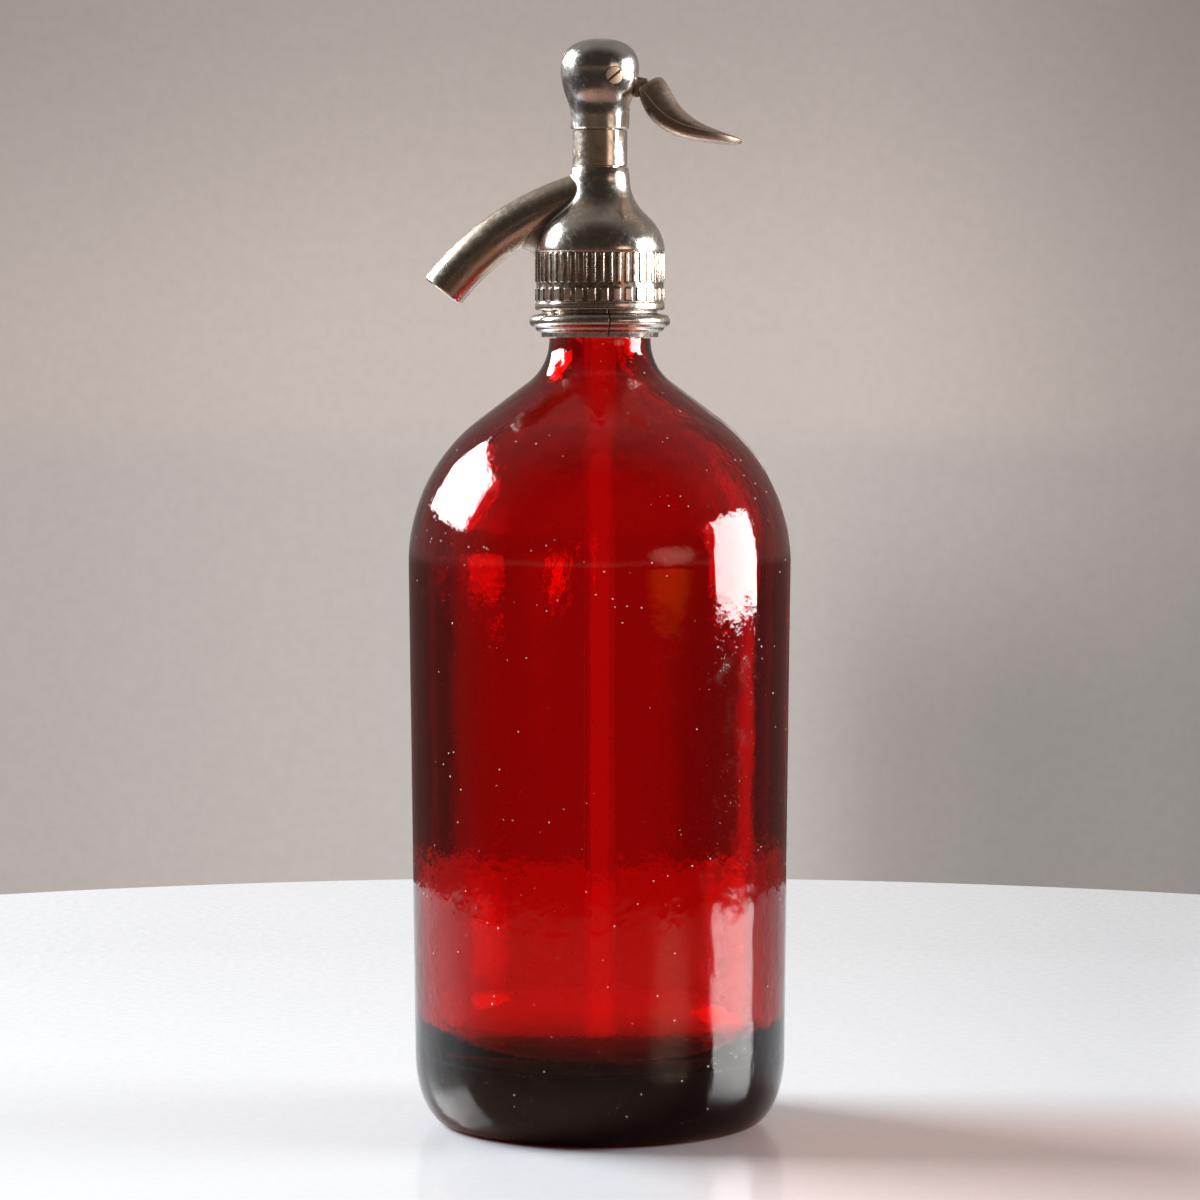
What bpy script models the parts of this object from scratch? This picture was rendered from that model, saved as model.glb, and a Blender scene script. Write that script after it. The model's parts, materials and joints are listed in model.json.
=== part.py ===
"""Soda siphon: a thick glass bottle with a screwed metal head, a thumb lever and a lifting valve.

Metres, +Z up. The origin is on the bottle's axis, where its foot stands. The spout points along -X
and the lever along +X, so the lever swings in the XZ plane about a screw that lies along Y.
"""

from math import atan, cos, pi, radians, sin, sqrt, tan

import bmesh
import bpy
from mathutils import Matrix, Vector

# Gaps between pieces
FIT = 0.0003
SIDE_PLAY = 0.0004
SEAM = 0.0003
OVERRUN = 0.0040

# Glass bottle
BODY_RADIUS = 0.0573
FOOT_RADIUS = 0.05555
FOOT_CORNER_WIDTH = 0.0103
FOOT_CORNER_HEIGHT = 0.0210
SHOULDER_START = 0.1686
SHOULDER_BEND = 0.0535
SHOULDER_SLOPE = radians(37)
NECK_BEND = 0.0156
GLASS_WALL = 0.0055
BASE_THICKNESS = 0.0200
INNER_CORNER = 0.0140
KICK_RADIUS = 0.0340
KICK_HEIGHT = 0.0050
NECK_LAND = 0.0006
GROOVE_DEPTH = 0.0020
GROOVE_HEIGHT = 0.0063
BEAD_HEIGHT = 0.0091
LIP_ROUND = 0.0012

# Split collar under the glass bead, with its rubber packing
COLLAR_FLANGE_HEIGHT = 0.0036
COLLAR_SLEEVE_WALL = 0.0017
COLLAR_SLEEVE_RECESS = 0.0017
COLLAR_LIP_WIDTH = 0.0040
COLLAR_LIP_HEIGHT = 0.0014
COLLAR_BEAD_REACH = 0.0076
COLLAR_BEAD_RISE = 0.0048
COLLAR_BEAD_WIDTH = 0.0018
COLLAR_BEAD_HALF_HEIGHT = 0.0019
COLLAR_SHOULDER_RISE = 0.0071
COLLAR_BEAD_ARC = (radians(-75), radians(95))
COLLAR_SPLIT_ANGLE = radians(8)

# Rubber gasket on the glass mouth
MOUTH_GASKET_THICKNESS = 0.0024

# Head casting
HEAD_GAP = 0.0009
SKIRT_WALL = 0.0019
SKIRT_HEIGHT = 0.01755
BELL_BEND = 0.0130
BELL_SLOPE = radians(45)
BELL_NECK_BEND = 0.0143
HEAD_NECK_RADIUS = 0.0089
HEAD_TOP_RADIUS = 0.0085
HEAD_NECK_LAND = 0.0030
HEAD_RIM_BEVEL = 0.0004

# Valve seat screwed into the head from below
SEAT_RADIUS = 0.0054
SEAT_HEIGHT = 0.0080
SEAT_RIM_HEIGHT = 0.0008
SEAT_BORE = 0.0024
SEAT_GASKET_THICKNESS = 0.0008
SEAT_FLANGE_WIDTH = 0.0021
SEAT_FLANGE_THICKNESS = 0.0015
NIPPLE_LENGTH = 0.0075

# Dip tube and its union nut
TUBE_RADIUS = 0.00475
TUBE_WALL = 0.00175
TUBE_FOOT_GAP = 0.0060
SEAL_WIDTH = 0.00145
SEAL_HEIGHT = 0.0032
FERRULE_THICKNESS = 0.0015
UNION_LIP = 0.0020
UNION_WALL = 0.00065
UNION_CLEARANCE = 0.0011
UNION_TOP_GAP = 0.0006
UNION_SIDES = 6

# Spout, a tube bent on one arc, over a smaller port in the head
SPOUT_BEND = 0.0808
SPOUT_RADIUS = 0.0067
SPOUT_WALL = 0.0026
PORT_RADIUS = 0.0026
SPOUT_AXIS_DROP = 0.0050
SPOUT_BEND_OFFSET = 0.0173
SPOUT_TIP_ANGLE = radians(52.7)
SPOUT_ROOT_ANGLE = radians(15)
PORT_START_ANGLE = radians(11)
SPOUT_TIP_BEVEL = 0.0010

# Stem sleeve between the head casting and the ball
SLEEVE_RADIUS = 0.0082
SLEEVE_BAND = 0.0108
SPIGOT_WALL = 0.0013
LOWER_SPIGOT = 0.0042
UPPER_SPIGOT = 0.0051
GLAND_BORE = 0.0053
GLAND_WEB = 0.0024
PACKING_HEIGHT = 0.0032
GLAND_NUT_HEIGHT = 0.0040
GLAND_SLOT_WIDTH = 0.0016
GLAND_SLOT_DEPTH = 0.0014

# Ball that carries the lever
BALL_RADIUS = 0.01175
BALL_RISE = 0.0181
BALL_TOP_HEIGHT = 0.0088
BALL_LOWER_HEIGHT = 0.0168
BALL_BLEND = radians(32)
BALL_STEM_RADIUS = 0.0088
BALL_TOP_SHARE = 0.87
BALL_CROWN_ARC = radians(84)
BALL_CROWN_WALL = 0.0026
BALL_RIM_BEVEL = 0.0004
SPRING_POCKET = 0.0087

# Lever pivot screw, along Y through the ball
PIVOT_OFFSET = 0.0042
PIVOT_RISE = 0.0154
PIVOT_RADIUS = 0.0012
PIVOT_HEAD_RADIUS = 0.0025
PIVOT_HEAD_DEPTH = 0.0026
PIVOT_PROUD = 0.00015
PIVOT_SLOT_WIDTH = 0.0007
PIVOT_SLOT_DEPTH = 0.0008
PIVOT_SLOT_TURN = radians(40)
PIVOT_PLAY = 0.0002

# Piston, its valve rubber, screw, clip and spring follower
ROD_RADIUS = 0.0021
ROD_FLANGE_THICKNESS = 0.0016
VALVE_RADIUS = 0.0042
VALVE_THICKNESS = 0.0030
VALVE_SCREW_RADIUS = 0.0009
VALVE_SCREW_HEAD_HEIGHT = 0.0018
VALVE_SCREW_GRIP = 0.0022
CLIP_RISE = 0.0010
CLIP_THICKNESS = 0.0008
CLIP_GROOVE_DEPTH = 0.0006
CLIP_RADIUS = 0.0040
CLIP_OPENING = 0.0026
FOLLOWER_THICKNESS = 0.0010
SPRING_WASHER_THICKNESS = 0.0007
SPRING_WIRE_RADIUS = 0.0005
SPRING_TURNS = 5
EYE_SLOT_HALF = 0.0011
EYE_SLOT_BELOW = 0.0043
EYE_ABOVE = 0.0024

# Lever: ear and tongue inside the ball, stem through its slot, horn-shaped thumb blade outside
EAR_RADIUS = 0.0024
TONGUE_HALF_WIDTH = 0.0008
TONGUE_NOSE = 0.0013
TONGUE_REACH = 0.0055
LEVER_STEM_HALF = 0.0024
STEM_REACH = 0.0100
STEM_HEIGHT = 0.0062
LEVER_START = 0.0077
LEVER_START_DROP = 0.0026
LEVER_REACH = 0.0306
LEVER_DROP = 0.0165
LEVER_HALF_WIDTH = 0.0105
LEVER_THICKNESS = 0.0038
LEVER_CROWN = 0.0071
SLOT_CLEARANCE = 0.0005
LEVER_PRESS = radians(20)

# Places along the lever, as shares of its reach, drop, width, thickness and crown
LEVER_ALONG_SHARES = (0, 0.010, 0.036, 0.082, 0.150, 0.239, 0.324, 0.408, 0.493, 0.582, 0.673, 0.771, 0.873,
                      0.951, 1)
LEVER_DROP_SHARES = (0, 0.030, 0.097, 0.212, 0.376, 0.521, 0.630, 0.697, 0.750, 0.794, 0.830, 0.873, 0.920,
                     0.960, 1)
LEVER_WIDTH_SHARES = (0.28, 0.36, 0.44, 0.52, 0.62, 0.73, 0.83, 0.90, 0.96, 0.99, 1, 0.96, 0.83, 0.61, 0.28)
LEVER_THICK_SHARES = (0.10, 0.24, 0.47, 0.68, 0.90, 1, 0.99, 1, 0.96, 0.88, 0.80, 0.71, 0.61, 0.48, 0.26)
LEVER_CROWN_SHARES = (0.50, 0.84, 1, 1, 0.93, 0.80, 0.68, 0.55, 0.42, 0.30, 0.21, 0.145, 0.10, 0.07, 0.04)
LEVER_BELLY_SHARE = 0.93

# Side outline of the stem, as shares of its reach (across from the pivot) and height (up from it)
STEM_TOP_SHARES = ((-0.11, 0.34), (0.12, 0.42), (0.36, 0.16), (0.76, 0), (1, -0.08))
STEM_LOW_SHARES = ((1, -0.98), (0.63, -1), (0.12, -0.42), (-0.11, -0.29))

# Side outline of the lever's slot in the ball, in the same shares
SLOT_LOW_SHARES = ((-0.42, -0.58), (0, -0.58), (0.30, -1.36), (0.44, -1.5))

# Number of facets round a turned piece
BOTTLE_STEPS = 48
HEAD_STEPS = 44
BALL_STEPS = 36
SMALL_STEPS = 20
TINY_STEPS = 12
SPOUT_STEPS = 24
SPOUT_RINGS = 10
ARC_POINTS = 7
SHOULDER_POINTS = 9
KICK_STEPS = 4
BALL_BLEND_STEPS = 4
BALL_CROWN_STEPS = 9
LEVER_ARCH_POINTS = 9
SPRING_POINTS = 10
SHARP_ANGLE = radians(30)

# Heights and radii that follow from the sizes above, from the foot upwards
seal_inner = TUBE_RADIUS + FIT
seal_outer = seal_inner + SEAL_WIDTH
union_bore = seal_outer + FIT
union_radius = (union_bore + UNION_WALL) / cos(pi / UNION_SIDES)
bore_radius = union_radius + UNION_CLEARANCE
neck_radius = bore_radius + GLASS_WALL
shoulder_lean = pi / 2 - SHOULDER_SLOPE
shoulder_end_radius = BODY_RADIUS - SHOULDER_BEND * (1 - cos(shoulder_lean))
shoulder_end = SHOULDER_START + SHOULDER_BEND * sin(shoulder_lean)
neck_bend_radius = neck_radius + NECK_BEND * (1 - cos(shoulder_lean))
neck_bend_start = shoulder_end + (shoulder_end_radius - neck_bend_radius) * tan(SHOULDER_SLOPE)
neck_base = neck_bend_start + NECK_BEND * sin(shoulder_lean)
groove_bottom = neck_base + NECK_LAND
groove_radius = neck_radius - GROOVE_DEPTH
bead_bottom = groove_bottom + GROOVE_HEIGHT
lip_top = bead_bottom + BEAD_HEIGHT

collar_bottom = groove_bottom + FIT
collar_inner = groove_radius + FIT
sleeve_inner = neck_radius + FIT
sleeve_outer = sleeve_inner + COLLAR_SLEEVE_WALL
sleeve_top = lip_top - COLLAR_SLEEVE_RECESS
collar_shoulder = collar_bottom + COLLAR_SHOULDER_RISE

head_bottom = collar_shoulder + HEAD_GAP
skirt_inner = sleeve_outer + FIT
skirt_outer = skirt_inner + SKIRT_WALL
ceiling = lip_top + FIT + MOUTH_GASKET_THICKNESS + FIT
bell_start = head_bottom + SKIRT_HEIGHT
bell_end_radius = skirt_outer - BELL_BEND * (1 - cos(BELL_SLOPE))
bell_end = bell_start + BELL_BEND * sin(BELL_SLOPE)
bell_neck_radius = HEAD_NECK_RADIUS + BELL_NECK_BEND * (1 - cos(BELL_SLOPE))
bell_neck_start = bell_end + (bell_end_radius - bell_neck_radius) * tan(BELL_SLOPE)
bell_neck = bell_neck_start + BELL_NECK_BEND * sin(BELL_SLOPE)
head_top = bell_neck + HEAD_NECK_LAND

chamber_radius = SEAT_RADIUS + FIT
seat_top = ceiling + SEAT_HEIGHT
seat_flange_top = ceiling - FIT - SEAT_GASKET_THICKNESS - FIT
seat_flange_bottom = seat_flange_top - SEAT_FLANGE_THICKNESS
nipple_bottom = seat_flange_bottom - NIPPLE_LENGTH
ferrule_top = nipple_bottom - FIT
ferrule_bottom = ferrule_top - FERRULE_THICKNESS
seal_top = ferrule_bottom - FIT
seal_bottom = seal_top - SEAL_HEIGHT
union_lip_top = seal_bottom - FIT
union_bottom = union_lip_top - UNION_LIP

spigot_radius = GLAND_BORE + SPIGOT_WALL
socket_radius = spigot_radius + FIT
spigot_bottom = head_top - LOWER_SPIGOT
band_bottom = head_top + SEAM
band_top = band_bottom + SLEEVE_BAND
spigot_top = band_top + UPPER_SPIGOT
web_top = spigot_bottom + GLAND_WEB
rod_hole = ROD_RADIUS + FIT
packing_bottom = web_top + FIT
packing_top = packing_bottom + PACKING_HEIGHT
gland_nut_bottom = packing_top + FIT
gland_nut_top = gland_nut_bottom + GLAND_NUT_HEIGHT
gland_outer = GLAND_BORE - FIT

ball_bottom = band_top + SEAM
ball_centre = ball_bottom + BALL_RISE
ball_top = ball_centre + BALL_TOP_HEIGHT
spring_stop = ball_bottom + SPRING_POCKET
pivot_height = ball_bottom + PIVOT_RISE

valve_bottom = seat_top + FIT
valve_top = valve_bottom + VALVE_THICKNESS
rod_bottom = valve_top + FIT
clip_bottom = gland_nut_top + CLIP_RISE
clip_top = clip_bottom + CLIP_THICKNESS
follower_bottom = clip_top + FIT
follower_top = follower_bottom + FOLLOWER_THICKNESS
spring_washer_top = spring_stop - FIT
spring_washer_bottom = spring_washer_top - SPRING_WASHER_THICKNESS
spring_bottom = follower_top + FIT
spring_top = spring_washer_bottom - FIT
eye_slot_top = pivot_height + TONGUE_NOSE + FIT
rod_top = eye_slot_top + EYE_ABOVE

spout_axis_height = head_top - SPOUT_AXIS_DROP
spout_centre = Vector((SPOUT_BEND_OFFSET, 0, spout_axis_height - SPOUT_BEND))


def clear_scene():
    for old in list(bpy.data.objects):
        bpy.data.objects.remove(old)


def finish(name, colour, roughness, metallic=0.0, transmission=0.0):
    """A Principled BSDF material for one sub-part."""
    material = bpy.data.materials.new(name)
    material.use_nodes = True
    shader = material.node_tree.nodes["Principled BSDF"]
    shader.inputs["Base Color"].default_value = (*colour, 1.0)
    shader.inputs["Roughness"].default_value = roughness
    shader.inputs["Metallic"].default_value = metallic
    shader.inputs["Transmission Weight"].default_value = transmission
    material.diffuse_color = (*colour, 1.0)
    return material


def add_object(name, mesh_builder, material=None):
    """Puts a finished bmesh in the scene as one named object."""
    bmesh.ops.recalc_face_normals(mesh_builder, faces=mesh_builder.faces)
    mesh = bpy.data.meshes.new(name)
    mesh_builder.to_mesh(mesh)
    mesh_builder.free()
    mesh.shade_smooth()
    mesh.set_sharp_from_angle(angle=SHARP_ANGLE)
    piece = bpy.data.objects.new(name, mesh)
    bpy.context.scene.collection.objects.link(piece)
    if material is not None:
        mesh.materials.append(material)
    return piece


def as_cutter(piece):
    """A helper that only shapes other pieces."""
    piece.hide_render = True
    piece.display_type = "WIRE"
    return piece


def combine(piece, tool, operation):
    change = piece.modifiers.new(f"{operation.lower()} {tool.name}", "BOOLEAN")
    change.operation = operation
    change.solver = "EXACT"
    change.object = tool


def arc(centre, bend, start, end, points=ARC_POINTS):
    """Points (radius, height) on a circle or, with bend = (across, up), on an ellipse."""
    across, up = bend if isinstance(bend, tuple) else (bend, bend)
    steps = [start + (end - start) * i / (points - 1) for i in range(points)]
    return [(centre[0] + across * cos(a), centre[1] + up * sin(a)) for a in steps]


def turned_mesh(section, steps, angle=2 * pi):
    """A section of (radius, height) points, turned about Z. It is closed round its end points."""
    builder = bmesh.new()
    corners = [builder.verts.new((r, 0, z)) for r, z in section]
    on_axis = section[0][0] == 0 and section[-1][0] == 0
    edges = [builder.edges.new(pair) for pair in zip(corners, corners[1:])]
    if not on_axis:
        edges.append(builder.edges.new((corners[-1], corners[0])))
    bmesh.ops.spin(
        builder, geom=corners + edges, cent=(0, 0, 0), axis=(0, 0, 1), angle=angle,
        steps=steps, use_merge=True, use_normal_flip=False, use_duplicate=False,
    )
    bmesh.ops.remove_doubles(builder, verts=builder.verts, dist=FIT / 1000)
    return builder


def turned(name, section, material=None, steps=SMALL_STEPS):
    return add_object(name, turned_mesh(section, steps), material)


def ring(inner, outer, low, high):
    """Section of a plain washer or bush."""
    return [(inner, low), (outer, low), (outer, high), (inner, high)]


def block(name, low, high):
    """A box cutter between two corners."""
    builder = bmesh.new()
    bmesh.ops.create_cube(builder, size=1)
    size = [b - a for a, b in zip(low, high)]
    middle = [(a + b) / 2 for a, b in zip(low, high)]
    bmesh.ops.scale(builder, vec=size, verts=builder.verts)
    bmesh.ops.translate(builder, vec=middle, verts=builder.verts)
    return as_cutter(add_object(name, builder))


def lofted_mesh(rings):
    """A closed solid through rings of equal count, with flat ends."""
    builder = bmesh.new()
    loops = [[builder.verts.new(point) for point in points] for points in rings]
    count = len(loops[0])
    for first, second in zip(loops, loops[1:]):
        for i in range(count):
            j = (i + 1) % count
            builder.faces.new((first[i], first[j], second[j], second[i]))
    builder.faces.new(loops[0])
    builder.faces.new(loops[-1])
    return builder


def along_y(name, section, place, steps, material=None):
    """A turned piece whose axis lies along Y through a place; its heights run along +Y."""
    builder = turned_mesh(section, steps)
    turn = Matrix.Rotation(-pi / 2, 4, "X")
    bmesh.ops.transform(builder, matrix=Matrix.Translation(place) @ turn, verts=builder.verts)
    return add_object(name, builder, material)


def across(name, outline, half, material=None):
    """A plate of even thickness whose outline lies in the XZ plane, centred on y = 0."""
    side = Vector((0, half, 0))
    return add_object(name, lofted_mesh([[p + side for p in outline], [p - side for p in outline]]), material)


def glass_bottle():
    """Bottle with a raised kick in its foot, a neck that lets the union nut pass and a grooved mouth."""
    lean = shoulder_lean
    contact_radius = FOOT_RADIUS - FOOT_CORNER_WIDTH
    kick_shares = [i / KICK_STEPS for i in range(KICK_STEPS + 1)]
    kick = [(KICK_RADIUS * share, KICK_HEIGHT * (1 - share**2)) for share in kick_shares]
    foot = arc((contact_radius, FOOT_CORNER_HEIGHT), (FOOT_CORNER_WIDTH, FOOT_CORNER_HEIGHT), -pi / 2, 0)
    shoulder_centre = (BODY_RADIUS - SHOULDER_BEND, SHOULDER_START)
    shoulder = arc(shoulder_centre, SHOULDER_BEND, 0, lean, SHOULDER_POINTS)
    neck_centre = (neck_radius + NECK_BEND, neck_base)
    neck = arc(neck_centre, NECK_BEND, pi + lean, pi)
    mouth = [
        (neck_radius, groove_bottom), (groove_radius, groove_bottom),
        (groove_radius, bead_bottom), (neck_radius, bead_bottom),
    ]
    lip = arc((neck_radius - LIP_ROUND, lip_top - LIP_ROUND), LIP_ROUND, 0, pi / 2, 3)
    inner_lip = arc((bore_radius + LIP_ROUND, lip_top - LIP_ROUND), LIP_ROUND, pi / 2, pi, 3)
    inner_neck = arc(neck_centre, NECK_BEND + GLASS_WALL, pi, pi + lean)
    inner_shoulder = arc(shoulder_centre, SHOULDER_BEND - GLASS_WALL, lean, 0, SHOULDER_POINTS)
    inner_side = FOOT_RADIUS - GLASS_WALL
    inner_foot = arc(
        (inner_side - INNER_CORNER, BASE_THICKNESS + INNER_CORNER), INNER_CORNER, 0, -pi / 2
    )
    section = kick + foot + shoulder + neck + mouth + lip
    section += inner_lip + inner_neck + inner_shoulder + inner_foot + [(0, BASE_THICKNESS)]
    glass = finish("ruby glass", (0.45, 0.004, 0.006), 0.05, transmission=0.9)
    turned("glass_bottle", section, glass, BOTTLE_STEPS)


def collar_section():
    """Section of the collar: inner flange, threaded sleeve, bead, cove and bottom lip."""
    lip_radius = collar_inner + COLLAR_LIP_WIDTH
    bead_centre = (
        collar_inner + COLLAR_BEAD_REACH - COLLAR_BEAD_WIDTH, collar_bottom + COLLAR_BEAD_RISE
    )
    bead = arc(bead_centre, (COLLAR_BEAD_WIDTH, COLLAR_BEAD_HALF_HEIGHT), *COLLAR_BEAD_ARC)
    return [
        (collar_inner, collar_bottom), (lip_radius, collar_bottom),
        (lip_radius, collar_bottom + COLLAR_LIP_HEIGHT),
        *bead,
        (sleeve_outer, collar_shoulder), (sleeve_outer, sleeve_top), (sleeve_inner, sleeve_top),
        (sleeve_inner, collar_bottom + COLLAR_FLANGE_HEIGHT),
        (collar_inner, collar_bottom + COLLAR_FLANGE_HEIGHT),
    ]


def collar_half(name, side, material):
    """Half of the split collar. Side is +1 for the lever's half and -1 for the spout's."""
    builder = turned_mesh(collar_section(), HEAD_STEPS)
    away = Vector((cos(COLLAR_SPLIT_ANGLE), sin(COLLAR_SPLIT_ANGLE), 0)) * side
    cut = bmesh.ops.bisect_plane(
        builder, geom=builder.verts[:] + builder.edges[:] + builder.faces[:],
        plane_co=away * FIT / 2, plane_no=away, clear_inner=True,
    )
    edges = [item for item in cut["geom_cut"] if isinstance(item, bmesh.types.BMEdge)]
    bmesh.ops.edgeloop_fill(builder, edges=edges)
    return add_object(name, builder, material)


def split_collar():
    nickel = finish("collar nickel", (0.60, 0.57, 0.52), 0.22, 1.0)
    collar_half("collar_half_lever_side", 1, nickel)
    collar_half("collar_half_spout_side", -1, nickel)
    packing_low = collar_bottom + COLLAR_FLANGE_HEIGHT + FIT
    turned(
        "neck_packing", ring(collar_inner, neck_radius, packing_low, bead_bottom - FIT),
        finish("packing rubber", (0.05, 0.03, 0.025), 0.75), HEAD_STEPS,
    )


def mouth_gasket():
    low = lip_top + FIT
    turned(
        "mouth_gasket", ring(bore_radius, neck_radius, low, low + MOUTH_GASKET_THICKNESS),
        finish("gasket rubber", (0.32, 0.06, 0.04), 0.7), HEAD_STEPS,
    )


def head_outline(grow=0.0):
    """Outer line of the head casting, bottom to top, grown by a clearance."""
    bell = arc((skirt_outer - BELL_BEND, bell_start), BELL_BEND + grow, 0, BELL_SLOPE)
    neck_centre = (HEAD_NECK_RADIUS + BELL_NECK_BEND, bell_neck)
    neck = arc(neck_centre, BELL_NECK_BEND - grow, pi + BELL_SLOPE, pi)
    return bell + neck + [(HEAD_TOP_RADIUS + grow, head_top)]


def spout_ring(angle, radius):
    """A circle square to the spout's arc, at an angle from the arc's top."""
    outward = Vector((-sin(angle), 0, cos(angle)))
    middle = spout_centre + outward * SPOUT_BEND
    sideways = Vector((0, 1, 0))
    turns = [2 * pi * i / SPOUT_STEPS for i in range(SPOUT_STEPS)]
    return [middle + outward * (radius * cos(t)) + sideways * (radius * sin(t)) for t in turns]


def spout_sweep(radius, first, last, tip_bevel=0.0):
    """A round solid along the spout's arc between two angles, with a bevelled tip if asked."""
    tip = last - tip_bevel / SPOUT_BEND
    rings = [
        spout_ring(first + (tip - first) * i / SPOUT_RINGS, radius) for i in range(SPOUT_RINGS + 1)
    ]
    if tip_bevel:
        rings.append(spout_ring(last, radius - tip_bevel))
    return lofted_mesh(rings)


def head_and_spout():
    """The bell-shaped casting with its outlet port, and the spout tube soldered over the port."""
    section = [
        (skirt_inner, ceiling), (skirt_inner, head_bottom),
        (skirt_outer - HEAD_RIM_BEVEL, head_bottom), (skirt_outer, head_bottom + HEAD_RIM_BEVEL),
        *head_outline(),
        (socket_radius, head_top), (socket_radius, spigot_bottom - FIT),
        (chamber_radius, spigot_bottom - FIT), (chamber_radius, ceiling),
    ]
    nickel = finish("head nickel", (0.56, 0.53, 0.48), 0.25, 1.0)
    casting = turned("head_casting", section, nickel, HEAD_STEPS)
    past_tip = SPOUT_TIP_ANGLE + OVERRUN / SPOUT_BEND
    port = as_cutter(add_object("outlet_port", spout_sweep(PORT_RADIUS, PORT_START_ANGLE, past_tip)))
    combine(casting, port, "DIFFERENCE")

    spout = add_object(
        "spout_tube", spout_sweep(SPOUT_RADIUS, SPOUT_ROOT_ANGLE, SPOUT_TIP_ANGLE, SPOUT_TIP_BEVEL),
        finish("spout nickel", (0.52, 0.46, 0.40), 0.28, 1.0),
    )
    hollow = spout_sweep(SPOUT_RADIUS - SPOUT_WALL, PORT_START_ANGLE, past_tip)
    combine(spout, as_cutter(add_object("spout_bore", hollow)), "DIFFERENCE")
    grown = [(0, head_bottom), (skirt_outer + FIT, head_bottom), *head_outline(FIT), (0, head_top)]
    seat = as_cutter(turned("spout_seat", grown, None, HEAD_STEPS))
    combine(spout, seat, "DIFFERENCE")


def valve_seat():
    """Brass insert: seat rim, threaded body, flange and the nipple that takes the dip tube."""
    brass = finish("seat brass", (0.72, 0.52, 0.24), 0.35, 1.0)
    rim = SEAT_BORE + SEAT_RIM_HEIGHT
    flange_radius = SEAT_RADIUS + SEAT_FLANGE_WIDTH
    section = [
        (SEAT_BORE, nipple_bottom), (seal_outer, nipple_bottom), (seal_outer, seat_flange_bottom),
        (flange_radius, seat_flange_bottom), (flange_radius, seat_flange_top),
        (SEAT_RADIUS, seat_flange_top), (SEAT_RADIUS, seat_top - SEAT_RIM_HEIGHT),
        (rim, seat_top - SEAT_RIM_HEIGHT), (rim, seat_top), (SEAT_BORE, seat_top),
    ]
    turned("valve_seat", section, brass)
    low = seat_flange_top + FIT
    turned(
        "valve_seat_gasket", ring(SEAT_RADIUS + FIT, flange_radius, low, low + SEAT_GASKET_THICKNESS),
        finish("fibre washer", (0.40, 0.16, 0.10), 0.8),
    )


def dip_tube():
    """Glass tube hung from the seat's nipple by a union nut, a rubber seal and a ferrule."""
    tube_bottom = BASE_THICKNESS + TUBE_FOOT_GAP
    turned(
        "dip_tube", ring(TUBE_RADIUS - TUBE_WALL, TUBE_RADIUS, tube_bottom, ferrule_top),
        finish("tube glass", (0.75, 0.80, 0.78), 0.05, transmission=0.95),
    )
    turned(
        "dip_tube_seal", ring(seal_inner, seal_outer, seal_bottom, seal_top),
        finish("seal rubber", (0.30, 0.05, 0.04), 0.7),
    )
    turned(
        "dip_tube_ferrule", ring(seal_inner, seal_outer, ferrule_bottom, ferrule_top),
        finish("ferrule tin", (0.62, 0.61, 0.58), 0.35, 1.0),
    )
    union_top = seat_flange_bottom - UNION_TOP_GAP
    builder = bmesh.new()
    bmesh.ops.create_cone(
        builder, cap_ends=True, segments=UNION_SIDES, radius1=union_radius, radius2=union_radius,
        depth=union_top - union_bottom,
    )
    bmesh.ops.translate(builder, vec=(0, 0, (union_top + union_bottom) / 2), verts=builder.verts)
    nut = add_object("dip_tube_union_nut", builder, finish("union nut brass", (0.70, 0.50, 0.24), 0.35, 1.0))
    hollow = [
        (0, union_bottom - OVERRUN), (seal_inner, union_bottom - OVERRUN), (seal_inner, union_lip_top),
        (union_bore, union_lip_top), (union_bore, union_top + OVERRUN), (0, union_top + OVERRUN),
    ]
    combine(nut, as_cutter(turned("union_hollow", hollow)), "DIFFERENCE")


def stem_sleeve():
    """Threaded sleeve between head and ball, with the gland that seals the piston rod."""
    section = [
        (rod_hole, spigot_bottom), (spigot_radius, spigot_bottom), (spigot_radius, band_bottom),
        (SLEEVE_RADIUS, band_bottom), (SLEEVE_RADIUS, band_top), (spigot_radius, band_top),
        (spigot_radius, spigot_top), (GLAND_BORE, spigot_top), (GLAND_BORE, web_top), (rod_hole, web_top),
    ]
    turned("stem_sleeve", section, finish("sleeve nickel", (0.62, 0.58, 0.52), 0.2, 1.0), BALL_STEPS)
    turned(
        "gland_packing", ring(rod_hole, gland_outer, packing_bottom, packing_top),
        finish("packing leather", (0.20, 0.10, 0.05), 0.85),
    )
    nut = turned(
        "gland_nut", ring(rod_hole, gland_outer, gland_nut_bottom, gland_nut_top),
        finish("gland nut brass", (0.70, 0.50, 0.24), 0.35, 1.0),
    )
    half = GLAND_SLOT_WIDTH / 2
    slot = block(
        "gland_slot", (-half, -GLAND_BORE, gland_nut_top - GLAND_SLOT_DEPTH),
        (half, GLAND_BORE, gland_nut_top + OVERRUN),
    )
    combine(nut, slot, "DIFFERENCE")


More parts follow.
